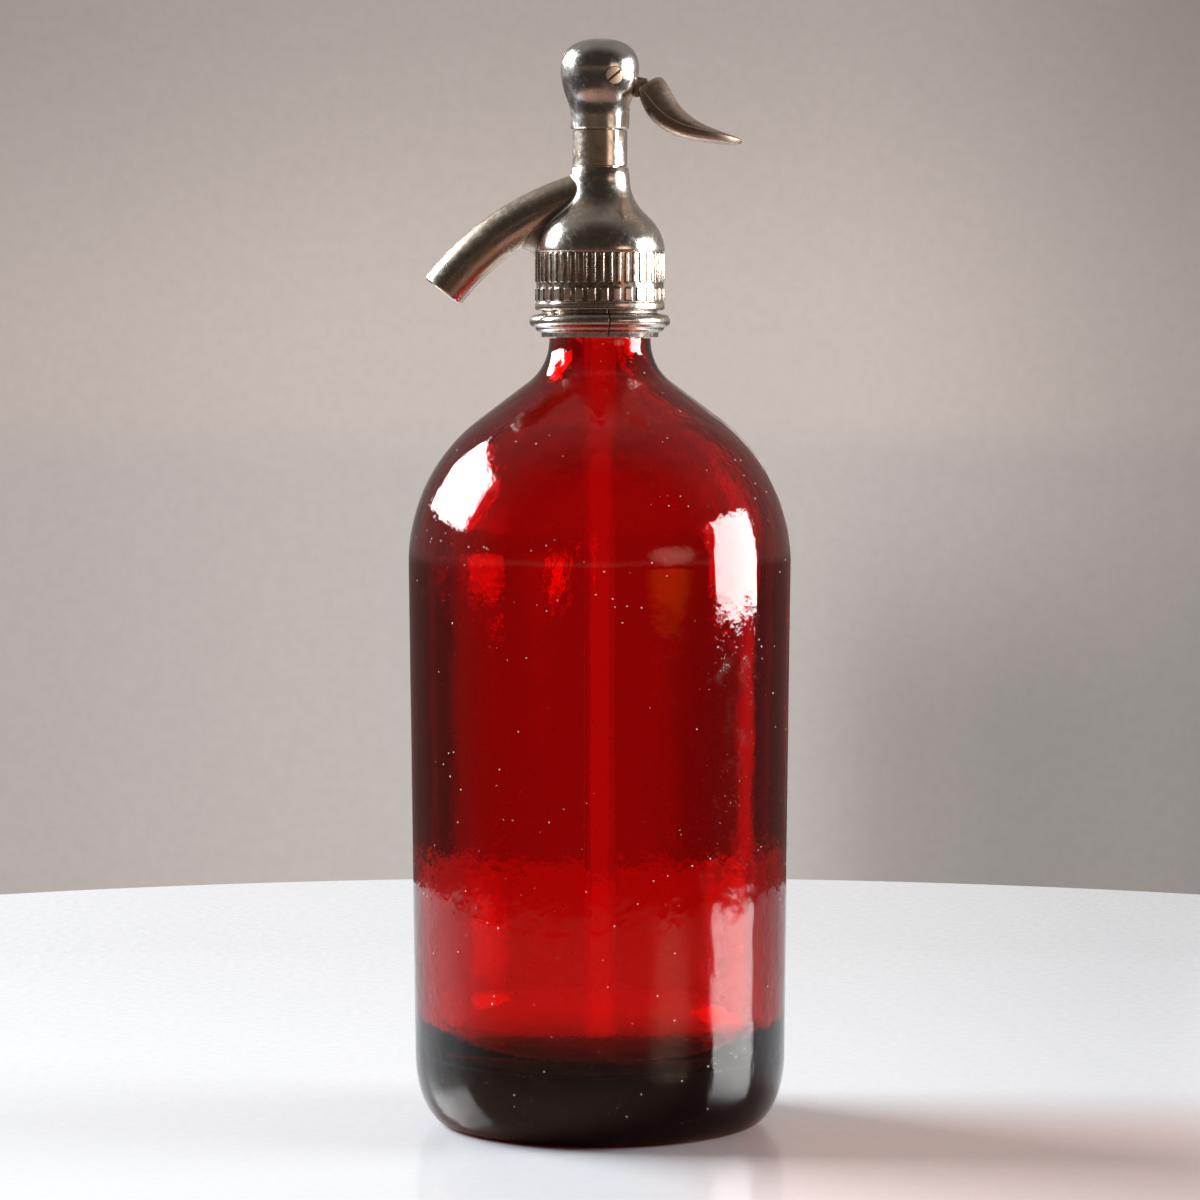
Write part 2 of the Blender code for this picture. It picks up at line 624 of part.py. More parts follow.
def ball_outline(grow=0.0):
    """Outer line of the ball and its stem, bottom to top, grown by a clearance."""
    radius = BALL_RADIUS + grow
    blend_slope = BALL_RADIUS * sin(BALL_BLEND) / (BALL_LOWER_HEIGHT * cos(BALL_BLEND))
    lean = sqrt(1 + blend_slope**2)
    blend_radius = BALL_RADIUS * cos(BALL_BLEND)
    fillet = (blend_radius - BALL_STEM_RADIUS) / (1 - 1 / lean)
    fillet_height = ball_centre - BALL_LOWER_HEIGHT * sin(BALL_BLEND) - fillet * blend_slope / lean
    stem = [
        (BALL_STEM_RADIUS + fillet * (1 - cos(a)) + grow, fillet_height + fillet * sin(a))
        for a in [atan(blend_slope) * i / BALL_BLEND_STEPS for i in range(BALL_BLEND_STEPS)]
    ]
    waist = arc((0, ball_centre), (radius, BALL_LOWER_HEIGHT + grow), -BALL_BLEND, 0)
    crown = [
        (radius * cos(a) ** BALL_TOP_SHARE, ball_centre + (BALL_TOP_HEIGHT + grow) * sin(a) ** BALL_TOP_SHARE)
        for a in [BALL_CROWN_ARC * (i + 1) / BALL_CROWN_STEPS for i in range(BALL_CROWN_STEPS)]
    ]
    return stem + waist + crown + [(0, ball_top + grow)]


def ball_cap():
    """Cast ball screwed on the sleeve, slotted for the lever and bored for spring and rod."""
    nickel = finish("ball nickel", (0.55, 0.54, 0.52), 0.18, 1.0)
    section = [
        (0, ball_top - BALL_CROWN_WALL), (rod_hole, ball_top - BALL_CROWN_WALL), (rod_hole, spring_stop),
        (GLAND_BORE, spring_stop), (GLAND_BORE, spigot_top + FIT), (socket_radius, spigot_top + FIT),
        (socket_radius, ball_bottom), (BALL_STEM_RADIUS - BALL_RIM_BEVEL, ball_bottom),
        (BALL_STEM_RADIUS, ball_bottom + BALL_RIM_BEVEL),
        *ball_outline(),
    ]
    ball = turned("ball_cap", section, nickel, BALL_STEPS)
    pivot = Vector((PIVOT_OFFSET, 0, pivot_height))
    reach = BALL_RADIUS + OVERRUN
    top = [p + Vector((0, 0, SLOT_CLEARANCE)) for p in beside_pivot(STEM_TOP_SHARES[1:4])]
    low = beside_pivot(SLOT_LOW_SHARES)
    outline = low + [
        Vector((reach, 0, low[-1].z)), Vector((reach, 0, top[-1].z)),
        *reversed(top), Vector((0, 0, top[0].z)),
    ]
    slot = as_cutter(across("lever_slot", outline, LEVER_STEM_HALF + SIDE_PLAY))
    combine(ball, slot, "DIFFERENCE")
    face = sqrt(BALL_RADIUS**2 - PIVOT_OFFSET**2)
    step = PIVOT_HEAD_DEPTH - face
    holes = [
        (0, -reach), (PIVOT_HEAD_RADIUS + PIVOT_PLAY, -reach), (PIVOT_HEAD_RADIUS + PIVOT_PLAY, step + FIT),
        (PIVOT_RADIUS + PIVOT_PLAY, step + FIT), (PIVOT_RADIUS + PIVOT_PLAY, reach), (0, reach),
    ]
    combine(ball, as_cutter(along_y("pivot_holes", holes, pivot, SMALL_STEPS)), "DIFFERENCE")
    screw = along_y(
        "pivot_screw",
        [
            (0, -reach), (PIVOT_HEAD_RADIUS, -reach), (PIVOT_HEAD_RADIUS, step),
            (PIVOT_RADIUS, step), (PIVOT_RADIUS, reach), (0, reach),
        ],
        pivot, SMALL_STEPS, finish("screw steel", (0.50, 0.47, 0.43), 0.3, 1.0),
    )
    skin = as_cutter(turned("ball_skin", [(0, ball_bottom), *ball_outline(PIVOT_PROUD)], None, BALL_STEPS))
    combine(screw, skin, "INTERSECT")
    slot_half = PIVOT_SLOT_WIDTH / 2
    driver = block(
        "driver_slot", (-BALL_RADIUS, -reach, -slot_half), (BALL_RADIUS, PIVOT_SLOT_DEPTH - face, slot_half)
    )
    driver.data.transform(Matrix.Rotation(-PIVOT_SLOT_TURN, 4, "Y"))
    driver.data.transform(Matrix.Translation(pivot))
    combine(screw, driver, "DIFFERENCE")


def piston():
    """Rod with a slotted top for the lever's tongue, and the parts that ride on it."""
    brass = finish("rod brass", (0.72, 0.54, 0.27), 0.3, 1.0)
    groove = ROD_RADIUS - CLIP_GROOVE_DEPTH
    grip_hole = VALVE_SCREW_RADIUS + FIT
    grip_top = rod_bottom + VALVE_SCREW_GRIP + FIT
    section = [
        (0, grip_top), (grip_hole, grip_top), (grip_hole, rod_bottom), (VALVE_RADIUS, rod_bottom),
        (VALVE_RADIUS, rod_bottom + ROD_FLANGE_THICKNESS), (ROD_RADIUS, rod_bottom + ROD_FLANGE_THICKNESS),
        (ROD_RADIUS, clip_bottom - FIT), (groove, clip_bottom - FIT), (groove, clip_top + FIT),
        (ROD_RADIUS, clip_top + FIT), (ROD_RADIUS, rod_top), (0, rod_top),
    ]
    rod = turned("piston_rod", section, brass)
    slot = block(
        "eye_slot", (-ROD_RADIUS - OVERRUN, -EYE_SLOT_HALF, pivot_height - EYE_SLOT_BELOW),
        (ROD_RADIUS + OVERRUN, EYE_SLOT_HALF, eye_slot_top),
    )
    combine(rod, slot, "DIFFERENCE")
    turned(
        "valve_rubber", ring(grip_hole, VALVE_RADIUS, valve_bottom, valve_top),
        finish("valve rubber", (0.04, 0.03, 0.03), 0.7),
    )
    screw_head = SEAT_BORE - SIDE_PLAY
    head_low = valve_bottom - FIT - VALVE_SCREW_HEAD_HEIGHT
    turned(
        "valve_screw",
        [
            (0, head_low), (screw_head, head_low), (screw_head, valve_bottom - FIT),
            (VALVE_SCREW_RADIUS, valve_bottom - FIT), (VALVE_SCREW_RADIUS, rod_bottom + VALVE_SCREW_GRIP),
            (0, rod_bottom + VALVE_SCREW_GRIP),
        ],
        finish("valve screw brass", (0.70, 0.52, 0.26), 0.3, 1.0), TINY_STEPS,
    )
    clip = turned(
        "spring_clip", ring(groove + FIT, CLIP_RADIUS, clip_bottom, clip_top),
        finish("clip steel", (0.45, 0.44, 0.42), 0.35, 1.0),
    )
    half = CLIP_OPENING / 2
    mouth = block("clip_mouth", (0, -half, clip_bottom - FIT), (CLIP_RADIUS + OVERRUN, half, clip_top + FIT))
    combine(clip, mouth, "DIFFERENCE")
    turned(
        "spring_follower", ring(rod_hole, gland_outer, follower_bottom, follower_top),
        finish("follower brass", (0.70, 0.52, 0.26), 0.35, 1.0),
    )


def return_spring():
    """Compression spring between the follower and the washer under the ball's shoulder."""
    turned(
        "spring_washer", ring(rod_hole, gland_outer, spring_washer_bottom, spring_washer_top),
        finish("washer steel", (0.48, 0.47, 0.45), 0.35, 1.0),
    )
    coil_radius = (rod_hole + gland_outer) / 2
    low = spring_bottom + SPRING_WIRE_RADIUS
    rise = spring_top - SPRING_WIRE_RADIUS - low
    count = SPRING_TURNS * SPRING_POINTS + 1
    points = []
    for i in range(count):
        share = i / (count - 1)
        angle = 2 * pi * SPRING_TURNS * share
        points.append(Vector((coil_radius * cos(angle), coil_radius * sin(angle), low + rise * share)))
    wire = bpy.data.curves.new("return_spring", "CURVE")
    wire.dimensions = "3D"
    wire.bevel_depth = SPRING_WIRE_RADIUS
    wire.bevel_resolution = 1
    wire.use_fill_caps = True
    spline = wire.splines.new("POLY")
    spline.points.add(count - 1)
    for point, place in zip(spline.points, points):
        point.co = (*place, 1)
    wire.materials.append(finish("spring steel", (0.45, 0.45, 0.46), 0.3, 1.0))
    spring = bpy.data.objects.new("return_spring", wire)
    bpy.context.scene.collection.objects.link(spring)
    half_turn = SPRING_POINTS // 2
    apart = min((a - b).length for i, a in enumerate(points) for b in points[i + half_turn:])
    print(f"return_spring: least gap between turns {(apart - 2 * SPRING_WIRE_RADIUS) * 1000:.2f} mm")


def beside_pivot(shares):
    """Points in the XZ plane from shares of the stem's reach and height, counted from the pivot."""
    return [
        Vector((PIVOT_OFFSET + across_share * STEM_REACH, 0, pivot_height + up_share * STEM_HEIGHT))
        for across_share, up_share in shares
    ]


def lever_blade(material):
    """Horn-shaped blade through rounded sections: an arched back over a side rim and a flat belly."""
    start = Vector((PIVOT_OFFSET + LEVER_START, 0, pivot_height - LEVER_START_DROP))
    spine = [
        start + Vector((LEVER_REACH * along, 0, -LEVER_DROP * drop))
        for along, drop in zip(LEVER_ALONG_SHARES, LEVER_DROP_SHARES)
    ]
    last = len(spine) - 1
    turns = [pi * i / (LEVER_ARCH_POINTS - 1) for i in range(LEVER_ARCH_POINTS)]
    rings = []
    for i, middle in enumerate(spine):
        forward = (spine[min(i + 1, last)] - spine[max(i - 1, 0)]).normalized()
        up = Vector((-forward.z, 0, forward.x))
        half = LEVER_HALF_WIDTH * LEVER_WIDTH_SHARES[i]
        crown = LEVER_CROWN * LEVER_CROWN_SHARES[i]
        back = [middle + Vector((0, half * cos(a), 0)) + up * (crown * sin(a)) for a in turns]
        low = middle - up * (LEVER_THICKNESS * LEVER_THICK_SHARES[i])
        belly = [low + Vector((0, side * half * LEVER_BELLY_SHARE, 0)) for side in (-1, 0, 1)]
        rings.append(back + belly)
    return add_object("lever", lofted_mesh(rings), material)


def lever():
    """Cast lever: tongue in the rod's eye, ear on the pivot, stem through the slot, thumb blade."""
    blade = lever_blade(finish("lever nickel", (0.42, 0.37, 0.32), 0.3, 1.0))
    pivot = Vector((PIVOT_OFFSET, 0, pivot_height))
    stem = across("lever_stem", beside_pivot(STEM_TOP_SHARES + STEM_LOW_SHARES), LEVER_STEM_HALF)
    combine(blade, as_cutter(stem), "UNION")

    half = TONGUE_HALF_WIDTH
    ear_section = [(0, -half), (EAR_RADIUS, -half), (EAR_RADIUS, half), (0, half)]
    combine(blade, as_cutter(along_y("lever_ear", ear_section, pivot, SMALL_STEPS)), "UNION")

    nose = pivot - Vector((TONGUE_REACH - TONGUE_NOSE, 0, 0))
    outline = [pivot - Vector((0, 0, TONGUE_NOSE)), pivot + Vector((0, 0, TONGUE_NOSE))]
    for i in range(ARC_POINTS):
        a = pi / 2 + pi * i / (ARC_POINTS - 1)
        outline.append(nose + Vector((TONGUE_NOSE * cos(a), 0, TONGUE_NOSE * sin(a))))
    combine(blade, as_cutter(across("lever_tongue", outline, half)), "UNION")

    hole_radius = PIVOT_RADIUS + PIVOT_PLAY
    reach = LEVER_STEM_HALF + OVERRUN
    hole_section = [(0, -reach), (hole_radius, -reach), (hole_radius, reach), (0, reach)]
    combine(blade, as_cutter(along_y("lever_hole", hole_section, pivot, SMALL_STEPS)), "DIFFERENCE")

    # The lever's own origin lies on its pivot
    blade.data.transform(Matrix.Translation(-pivot))
    blade.location = pivot


def main():
    clear_scene()
    glass_bottle()
    split_collar()
    mouth_gasket()
    head_and_spout()
    valve_seat()
    dip_tube()
    stem_sleeve()
    ball_cap()
    piston()
    return_spring()
    lever()
    travel = PIVOT_OFFSET * LEVER_PRESS
    print(f"overall height {ball_top * 1000:.2f} mm, piston travel {travel * 1000:.3f} mm")
    print(f"pivot at x {PIVOT_OFFSET:.5f}, z {pivot_height:.5f}; spring top {spring_top:.5f}")
    print(f"neck base {neck_base * 1000:.2f} mm, head top {head_top * 1000:.2f} mm")


main()
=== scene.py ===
"""Soda siphon: finish, fine shapes and stage for the packed model, laid out as a Blender add-on.

Metres, +Z up. The spout points along -X and the thumb lever along +X.
"""

import json
from math import atan, atan2, cos, hypot, pi, radians, sin, sqrt, tan

import bmesh
import bpy
from bpy.props import FloatProperty, FloatVectorProperty, IntProperty, PointerProperty
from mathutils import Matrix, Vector


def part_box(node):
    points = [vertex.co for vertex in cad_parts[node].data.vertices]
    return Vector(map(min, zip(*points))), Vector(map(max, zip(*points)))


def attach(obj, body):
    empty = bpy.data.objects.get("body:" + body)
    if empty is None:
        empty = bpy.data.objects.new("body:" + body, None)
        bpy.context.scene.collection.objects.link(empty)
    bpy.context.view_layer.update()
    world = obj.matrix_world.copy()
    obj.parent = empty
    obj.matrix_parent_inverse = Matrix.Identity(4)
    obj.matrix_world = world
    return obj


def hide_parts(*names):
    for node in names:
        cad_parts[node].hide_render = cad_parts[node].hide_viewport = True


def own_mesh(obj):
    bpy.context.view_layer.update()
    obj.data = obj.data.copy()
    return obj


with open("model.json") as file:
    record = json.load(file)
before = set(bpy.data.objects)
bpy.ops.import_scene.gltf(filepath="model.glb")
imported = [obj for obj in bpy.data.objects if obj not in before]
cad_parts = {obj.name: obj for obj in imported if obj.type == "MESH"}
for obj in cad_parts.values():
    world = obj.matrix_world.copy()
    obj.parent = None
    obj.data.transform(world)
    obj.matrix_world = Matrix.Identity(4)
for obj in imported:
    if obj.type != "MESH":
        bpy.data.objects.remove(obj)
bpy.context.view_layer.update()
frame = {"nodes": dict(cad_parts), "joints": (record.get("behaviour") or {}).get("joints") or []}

bl_info = {
    "name": "Soda Siphon",
    "version": (1, 0, 0),
    "blender": (4, 5, 0),
    "location": "3D View > Sidebar > Siphon",
    "description": "Dresses a soda siphon: ruby glass, worn nickel head, thumb lever and stage",
    "category": "Add Mesh",
}

# Where the packed solids stand
BOTTLE_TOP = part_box("glass_bottle")[1]
HEAD_LOW, HEAD_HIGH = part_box("head_casting")
COLLAR_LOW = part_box("collar_half_lever_side")[0]
SLEEVE_LOW, SLEEVE_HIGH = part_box("stem_sleeve")
BALL_LOW, BALL_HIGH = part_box("ball_cap")
TUBE_LOW, TUBE_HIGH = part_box("dip_tube")
SPRING_LOW, SPRING_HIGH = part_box("return_spring")
PIVOT = Vector(next(joint["pos_m"] for joint in frame["joints"] if joint["name"] == "lever_pivot"))

# Plate of each piece: bright, dull and tarnished colour, wear, and roughness where clear and clouded
PLATES = {
    "Head Nickel": ((0.64, 0.60, 0.55), (0.50, 0.45, 0.40), (0.25, 0.18, 0.12), 0.5, 0.15, 0.26),
    "Collar Nickel": ((0.66, 0.61, 0.56), (0.50, 0.45, 0.40), (0.26, 0.19, 0.13), 0.5, 0.16, 0.30),
    "Sleeve Nickel": ((0.66, 0.62, 0.56), (0.54, 0.49, 0.43), (0.30, 0.22, 0.15), 0.5, 0.13, 0.26),
    "Ball Nickel": ((0.63, 0.62, 0.60), (0.50, 0.48, 0.46), (0.27, 0.21, 0.15), 0.2, 0.14, 0.26),
    "Spout Nickel": ((0.62, 0.55, 0.47), (0.52, 0.44, 0.36), (0.36, 0.24, 0.16), 0.3, 0.24, 0.34),
    "Lever Nickel": ((0.60, 0.49, 0.40), (0.44, 0.34, 0.27), (0.20, 0.14, 0.10), 0.8, 0.32, 0.50),
    # The solder's colours are darker than solder alone, partly a painted shade in the crotch under the spout
    "Dull Solder": ((0.32, 0.29, 0.25), (0.22, 0.19, 0.16), (0.12, 0.09, 0.06), 0.6, 0.36, 0.50),
}

# Metals inside: bright and dull colour, roughness and how they are brushed
METALS = {
    "Turned Brass": ((0.78, 0.58, 0.30), (0.62, 0.43, 0.20), 0.28, (1, 1, 6)),
    "Spring Steel": ((0.52, 0.52, 0.54), (0.38, 0.38, 0.40), 0.30),
    "Tinned Metal": ((0.66, 0.65, 0.62), (0.52, 0.51, 0.48), 0.35),
}
SCREW_STEEL = ((0.64, 0.53, 0.40), (0.54, 0.42, 0.31), 0.42)

# Soft pieces inside: light and dark colour, roughness, and the scale and height of their grain
MATTES = {
    "Black Rubber": ((0.060, 0.050, 0.048), (0.030, 0.025, 0.024), 0.72, 900, 0.00003),
    "Red Rubber": ((0.36, 0.075, 0.050), (0.25, 0.045, 0.032), 0.68, 900, 0.00003),
    "Pressed Fibre": ((0.46, 0.19, 0.12), (0.32, 0.12, 0.08), 0.78, 1600, 0.00004),
    "Greased Leather": ((0.24, 0.12, 0.06), (0.13, 0.06, 0.03), 0.60, 1200, 0.00005),
}
INNER_NODES = {
    "Turned Brass": (
        "valve_seat", "dip_tube_union_nut", "gland_nut", "piston_rod", "valve_screw", "spring_follower",
    ),
    "Spring Steel": ("spring_clip", "spring_washer"),
    "Tinned Metal": ("dip_tube_ferrule",),
    "Black Rubber": ("neck_packing", "valve_rubber"),
    "Red Rubber": ("mouth_gasket", "dip_tube_seal"),
    "Pressed Fibre": ("valve_seat_gasket",),
    "Greased Leather": ("gland_packing",),
}

# Brass where the plate is worn through, dirt in the sunk ground, and how dark the pits are beside tarnish
BARE_BRASS = (0.66, 0.46, 0.24)
GROUND_DIRT = (0.20, 0.15, 0.10)
PIT_SHADE = 0.35

# Gap between fitted pieces, distance at which points merge, and how far a cutting tool runs past
FIT, MERGE, OVERRUN = 0.0003, 0.000001, 0.004

# Radius of the spring's wire, and how far the pressed lever lifts the piston
SPRING_WIRE, PISTON_TRAVEL = 0.0005, 0.001466

# A full circle, and where the arc of the ball's crown ends, just before its top
ROUND_TURN, CROWN_END = 2 * pi, radians(88)

# Facets round each form, and steps along it
SPRING_TURNS, SPRING_FACETS, SPRING_STEPS = 5, 16, 32
SPOUT_FACETS, SPOUT_STEPS, SPOUT_ROUNDING = 72, 60, 5
ROD_FACETS, SCREW_FACETS, TUBE_FACETS, TABLE_FACETS = 48, 64, 64, 256


def number_of(name, description, default, **unit):
    """A number for the panel, with its unit or subtype if it has one."""
    return FloatProperty(name=name, description=description, default=default, **unit)


def length_of(name, description, default):
    """A length for the panel, in metres."""
    return number_of(name, description, default, unit="LENGTH")


def angle_of(name, description, degrees):
    """An angle for the panel."""
    return number_of(name, description, radians(degrees), subtype="ANGLE")


def colour_of(name, description, default):
    """A colour for the panel."""
    return FloatVectorProperty(name=name, description=description, default=default, subtype="COLOR")


class GlassSizes(bpy.types.PropertyGroup):
    """The bottle's turned outline and its colour."""

    foot_radius: length_of("Foot Radius", "Radius of the wall just above the foot's corner", 0.05555)
    foot_corner_width: length_of("Foot Corner Width", "How far the rounded foot draws in", 0.0103)
    foot_corner_height: length_of("Foot Corner Height", "How high the rounded foot reaches", 0.0210)
    shoulder_start: length_of("Shoulder Start", "Height where the wall begins to round in", 0.1686)
    shoulder_bend: length_of("Shoulder Bend", "Radius of the shoulder's arc", 0.0535)
    shoulder_slope: angle_of("Shoulder Slope", "Slope of the straight run below the neck", 37)
    neck_radius: length_of("Neck Radius", "Outer radius of the neck", 0.0152)
    neck_bend: length_of("Neck Bend", "Radius of the hollow curve into the neck", 0.0156)
    wall: length_of("Wall", "Thickness of the glass", 0.0055)
    base: length_of("Base", "Thickness of the glass foot", 0.0200)
    inner_corner: length_of("Inner Corner", "Radius inside, where wall meets foot", 0.0140)
    kick_radius: length_of("Kick Radius", "Radius of the hollow under the foot", 0.0340)
    kick_height: length_of("Kick Height", "Height of the hollow under the foot", 0.0050)
    groove_depth: length_of("Groove Depth", "Depth of the collar's groove", 0.0020)
    groove_height: length_of("Groove Height", "Height of the collar's groove", 0.0063)
    bead_height: length_of("Mouth Bead", "Height of the bead above the groove", 0.0091)
    lip_round: length_of("Lip Rounding", "Rounding of the mouth's edges", 0.0012)
    steps: IntProperty(name="Steps", description="Facets round the bottle", default=192)
    tint: colour_of("Glass Tint", "Colour that each metre of glass lets through", (0.94, 0.0, 0.0))
    density: number_of("Tint Density", "How strongly the glass absorbs", 1080.0)


class HeadSizes(bpy.types.PropertyGroup):
    """The collar, the bell-shaped casting and the sleeve above it."""

    skirt_wall: length_of("Skirt Wall", "Wall of the skirt", 0.0019)
    skirt_height: length_of("Skirt Height", "Height of the straight skirt", 0.01755)
    bell_bend: length_of("Bell Bend", "Radius of the bell's shoulder", 0.0130)
    bell_slope: angle_of("Bell Slope", "Steepest slope of the bell", 45)
    neck_bend: length_of("Bell Neck Bend", "Radius of the hollow curve into the stem", 0.0143)
    neck_radius: length_of("Stem Radius", "Radius where the curve ends", 0.0089)
    top_radius: length_of("Top Radius", "Radius of the stem's top", 0.0085)
    neck_land: length_of("Stem Land", "Height of the straight stem", 0.0030)
    rim_bevel: length_of("Rim Bevel", "Bevel round the skirt's rim", 0.0004)
    relief: length_of("Relief", "How far the ornament stands out of its sunk ground", 0.00035)
    flute_low: length_of("Flutes Low", "Lower end of the flutes", 0.2519)
    flute_high: length_of("Flutes High", "Upper end of the flutes", 0.2606)
    stud_low: length_of("Studs Low", "Lower edge of the studs", 0.2464)
    stud_high: length_of("Studs High", "Upper edge of the studs", 0.2502)
    sleeve_radius: length_of("Sleeve Radius", "Radius of the sleeve", 0.0082)
    sleeve_band: length_of("Sleeve Band", "Height of the sleeve's band", 0.0108)
    sleeve_bevel: length_of("Sleeve Bevel", "Bevel at the joint lines", 0.00025)
    gland_bore: length_of("Gland Bore", "Bore for the gland", 0.0053)
    steps: IntProperty(name="Steps", description="Facets round the head", default=192)


class SpoutSizes(bpy.types.PropertyGroup):
    """The bent spout tube and the solder round its root."""

    bend: length_of("Bend", "Radius of the tube's centre line", 0.0808)
    bend_offset: length_of("Bend Offset", "Where the bend's centre lies along X", 0.0173)
    axis_drop: length_of("Axis Drop", "From the stem's top down to the arc's highest point", 0.0050)
    radius: length_of("Tube Radius", "Outer radius of the tube", 0.0067)
    wall: length_of("Tube Wall", "Wall of the tube", 0.0026)
    tip_angle: angle_of("Tip Angle", "Angle from the arc's top to the tip", 52.7)
    root_angle: angle_of("Root Angle", "Angle from the arc's top to the root", 15)
    tip_round: length_of("Tip Rounding", "Rounding of the tip's outer edge", 0.0010)
    solder_top: length_of("Solder Above", "Fillet radius above the tube", 0.0009)
    solder_crotch: length_of("Solder Below", "Fillet radius in the crotch", 0.0027)


class BallSizes(bpy.types.PropertyGroup):
    """The ball that carries the lever, and its pivot screw."""

    radius: length_of("Ball Radius", "Radius of the ball", 0.01175)
    rise: length_of("Ball Rise", "From the ball's lower end up to its centre", 0.0181)
    top_height: length_of("Crown Height", "Height of the crown", 0.0088)
    lower_height: length_of("Lower Height", "Half height of the lower ellipse", 0.0168)
    blend: angle_of("Blend", "Where the ball flows into its stem", 32)
    stem_radius: length_of("Ball Stem Radius", "Radius of the stem", 0.0088)
    crown_share: number_of("Crown Share", "How square the crown is", 0.87)
    crown_wall: length_of("Crown Wall", "Wall over the rod", 0.0026)
    spring_pocket: length_of("Spring Pocket", "Depth of the spring's pocket", 0.0087)
    screw_radius: length_of("Screw Head", "Radius of the screw's head", 0.0025)
    screw_head_depth: length_of("Screw Head Depth", "Depth of the screw's head", 0.0026)
    pin_radius: length_of("Screw Shank", "Radius of the screw's shank", 0.0012)
    play: length_of("Screw Play", "Gap round the screw", 0.0002)
    screw_proud: length_of("Screw Proud", "How far the screw stands out", 0.00015)
    slot_width: length_of("Driver Slot", "Width of the driver's slot", 0.0007)
    slot_depth: length_of("Driver Slot Depth", "Depth of the driver's slot", 0.0008)
    slot_turn: angle_of("Driver Slot Turn", "Turn of the driver's slot", 40)
    steps: IntProperty(name="Steps", description="Facets round the ball", default=160)


class LeverSizes(bpy.types.PropertyGroup):
    """The horn-shaped thumb lever."""

    start: length_of("Blade Start", "From the pivot out to the blade", 0.0077)
    start_drop: length_of("Blade Start Drop", "From the pivot down to the blade", 0.0026)
    reach: length_of("Blade Reach", "Reach of the blade along X", 0.0306)
    drop: length_of("Blade Drop", "Fall of the blade", 0.0165)
    half_width: length_of("Half Width", "Half the blade's width", 0.0105)
    thickness: length_of("Flank", "Height of the blade's flank", 0.0038)
    crown: length_of("Crown", "Rise of the blade's back", 0.0071)
    stem_half: length_of("Stem Half Width", "Half the stem's thickness", 0.0024)
    stem_reach: length_of("Stem Reach", "Reach of the stem", 0.0100)
    stem_height: length_of("Stem Height", "Height of the stem", 0.0062)
    side_play: length_of("Side Play", "Gap beside the stem", 0.0004)
    ear_radius: length_of("Ear", "Radius of the ear on the pivot", 0.0024)
    tongue_reach: length_of("Tongue Reach", "Reach of the tongue", 0.0055)
    tongue_nose: length_of("Tongue Nose", "Radius of the tongue's nose", 0.0013)
    tongue_half: length_of("Tongue Half Width", "Half the tongue's width", 0.0008)


class StageSizes(bpy.types.PropertyGroup):
    """The table, the windows and the camera."""

    table_radius: length_of("Table Radius", "Radius of the round table", 0.573)
    table_offset: length_of("Table Offset", "How far the table's centre lies behind", 0.043)
    table_thickness: length_of("Table Thickness", "Thickness of the table", 0.024)
    table_gap: length_of("Table Gap", "Air under the foot", 0.0001)
    table_colour: colour_of("Table", "The table's lacquer", (0.855, 0.895, 0.945))
    # A painted pool of warm light, tinting the table where the bottle's shadow falls
    painted_warm_light_colour: colour_of(
        "Warm Table", "The table at the right in front, under the room's lamps", (0.960, 0.800, 0.775),
    )
    # These paint a darker shade onto the table in front, which only reflections see
    painted_shade_front: number_of(
        "Dusk Front", "Sine of the bearing where reflections show the table fully dusky", 0.60,
    )
    painted_shade_back: number_of("Dusk Back", "Sine of the bearing where the dusk ends", 0.30)
    painted_shade_colour: colour_of("Dusk", "The table in front as reflections show it", (0.40, 0.24, 0.185))
    camera_distance: length_of("Camera Distance", "From the bottle's axis", 1.3639)
    camera_height: length_of("Camera Height", "Above the table", 0.2378)
    camera_tilt: angle_of("Camera Tilt", "Below the horizon", 3.386)
    focal_pixels: number_of("Focal Length", "In pixels of the frame", 4563.0)
    frame_pixels: number_of("Frame", "Width of the frame in pixels", 1200.0)
    wall_colour: colour_of("Wall", "The wall where it is lightest", (0.590, 0.512, 0.466))
    wall_low_colour: colour_of("Wall Below", "The wall below the edge of light on it", (0.572, 0.516, 0.488))
    room_colour: colour_of("Room", "The dim room in front, for reflections alone", (0.045, 0.034, 0.028))
    band_colour: colour_of("Band", "A warm band at eye level in front, for them", (0.340, 0.222, 0.150))
    lamp_colour: colour_of("Lamp", "A warm lamp in front at the right", (1.0, 0.74, 0.56))
    amber_colour: colour_of("Amber", "Amber light, which the glass shows", (1.0, 0.14, 0.0))
    door_colour: colour_of("Doorway", "A bright doorway behind, just right of the picture", (1.0, 0.93, 0.86))
    side_colour: colour_of("Side", "The dim room at both sides", (0.300, 0.262, 0.238))
    side_low_colour: colour_of("Side Below", "The sides below eye level", (0.130, 0.112, 0.100))
    left_window: number_of("Left Window", "Power of the left window", 86.0, unit="POWER")
    right_window: number_of("Right Window", "Power of the right window", 170.0, unit="POWER")
    lamp: number_of("Lamp Strength", "Brightness of the warm lamp", 1.9)
    amber: number_of("Amber Strength", "Brightness of the amber light below the lamp", 2.0)
    ember: number_of("Ember Strength", "Brightness of the small light behind the bottle", 1.5)
    doorway: number_of("Doorway Strength", "Brightness of the doorway", 1.0)


# Which facets of each group stand out, in the bell's two rows
FLUTE_PATTERN = (1, 1, 0, 0)
STUD_PATTERN = (1, 1, 1, 1, 0, 0)

# The solder's fillet: its rings, the steps across it, the rounds that find its place, and how
# sharply it grows towards the crotch
SOLDER_RINGS, SOLDER_STEPS, SOLDER_ROUNDS, SOLDER_GROWTH = 96, 8, 40, 1.5

